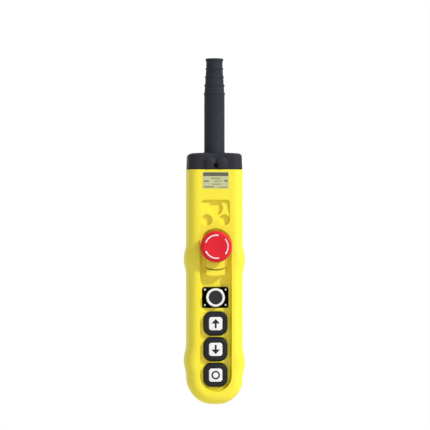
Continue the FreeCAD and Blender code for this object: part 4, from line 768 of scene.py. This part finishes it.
def button_surround():
    """Shallow yellow frame on the recess's ledge, with an eased opening round each rubber button."""
    edge = [(SURROUND_HALF, SURROUND_TOP), (-SURROUND_HALF, SURROUND_TOP)]
    for s in range(49):
        a = math.radians(180 + 180 * s / 48)
        edge.append((SURROUND_HALF * math.cos(a), SURROUND_END + SURROUND_HALF * math.sin(a)))
    stacks = [[(edge, SURROUND_FRONT), (edge, SURROUND_BACK)]]
    for z in BUTTON_Z.values():
        eased, plain = [[(x, z + dz) for x, dz in rounded_square(OPENING + 2 * ease,
                                                                 OPENING + 2 * ease,
                                                                 OPENING_CORNER + ease)]
                        for ease in (EASE_OUT, 0)]
        stacks.append([(eased, SURROUND_FRONT), (plain, SURROUND_FRONT + EASE_DEEP),
                       (plain, SURROUND_BACK)])
    bm = bmesh.new()
    front_edges, back_edges = [], []
    for stack in stacks:
        rings = [[bm.verts.new(Vector((x, y, z)) * MM) for x, z in outline] for outline, y in stack]
        bands(bm, rings)
        for ring, edges in ((rings[0], front_edges), (rings[-1], back_edges)):
            edges += [bm.edges.get(pair) for pair in zip(ring, ring[1:] + ring[:1])]
    for edges in (front_edges, back_edges):
        bmesh.ops.triangle_fill(bm, use_beauty=True, edges=edges)
    piece("button_surround", mesh_from(bm, "surround"), yellow_abs, "housing",
          smooth=False)


def gap_rib(upper, lower):
    """Short yellow rib of the frame, in the gap between the straight sides of two buttons."""
    mesh = stacked("rib", RIB_LAYERS, RIB_X, (BUTTON_Z[upper] + BUTTON_Z[lower]) / 2)
    piece("rib_under_" + upper, mesh, yellow_abs, "housing")


# Return springs

WIRE = 1.0
SPRING_TURNS = 4
TRAVEL = {"estop": 4.0, "start": 2.5, "forward": 4.0, "reverse": 4.0, "stop": 4.0}


def return_spring(name):
    """Coil of round wire behind an operator, drawn at one length; the real one closes up as the
    operator goes in.
    """
    low, high = (Vector(corner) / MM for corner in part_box(name + "_spring"))
    centre_z = (low.z + high.z) / 2
    radius = (high.x - low.x - WIRE) / 2
    first, last = low.y + WIRE / 2, high.y - WIRE / 2
    bm = bmesh.new()
    steps, sides = 28 * SPRING_TURNS, 12
    rings = []
    for s in range(steps + 1):
        a = 2 * math.pi * SPRING_TURNS * s / steps
        out = Vector((math.cos(a), 0, math.sin(a)))
        middle = Vector((0, first + (last - first) * s / steps, centre_z)) + out * radius
        ring = []
        for j in range(sides):
            b = 2 * math.pi * j / sides
            spot = middle + WIRE / 2 * (out * math.cos(b) + Vector((0, math.sin(b), 0)))
            ring.append(bm.verts.new(spot * MM))
        rings.append(ring)
    bands(bm, rings)
    bm.faces.new(rings[0])
    bm.faces.new(list(reversed(rings[-1])))
    coil = piece(name + "_coil", mesh_from(bm, "coil"), spring_wire, "housing",
                 replaces=[name + "_spring"])
    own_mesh(coil)


# Plate under the cap

def rating_plate():
    """Bare pale plate with an olive band along its upper edge and ruled, empty fields below."""
    layers = [(32.5, 20.5, 0.9, PLATE_FRONT), (32.8, 20.8, 1.0, -24.17), (32.9, 20.9, 1.0, -24.1),
              (32.9, 20.9, 1.0, -23.7)]
    mesh = stacked("plate", layers, 0, PLATE_Z)
    piece("plate_sheet", mesh, pale_sheet, "housing", smooth=False,
          replaces=["rating_plate"])
    band = [bar(-15.9, 15.9, 5.3, 9.9)]
    printed("plate_band", band, PLATE_Z, PLATE_FRONT, olive_print, "housing")
    rules = [bar(-5.8, 5.8, 2.0, 2.9), bar(-15.2, -8.6, -1.9, -0.3), bar(-2.4, 7.5, -1.4, -0.6),
             bar(11.0, 15.2, -1.9, 0.3), bar(-4.6, 5.8, -5.3, -4.4), bar(-15.0, -2.4, -9.0, -7.7),
             bar(3.4, 15.2, -9.2, -8.5)]
    printed("plate_rules", rules, PLATE_Z, PLATE_FRONT, grey_print, "housing")


place_camera()
place_lights()
place_floor()
cable_boot()
top_cap()
stop_head()
for mark in range(len(MARK_STARTS)):
    release_mark(mark)
start_ring()
start_face()
for count, (x, z) in enumerate(PLATE_SCREWS, 1):
    plate_screw(count, x, z)
for name in BUTTON_Z:
    push_cap(name)
    tile(name)
signs = {"forward": ("_arrow", arrow(True)), "reverse": ("_arrow", arrow(False)),
         "stop": ("_ring", open_ring())}
for name, (kind, outlines) in signs.items():
    printed(name + kind, outlines, BUTTON_Z[name], TILE_FRONT, black_print, name + "_push")
button_surround()
gap_rib("forward", "reverse")
gap_rib("reverse", "stop")
rating_plate()
for name in TRAVEL:
    return_spring(name)
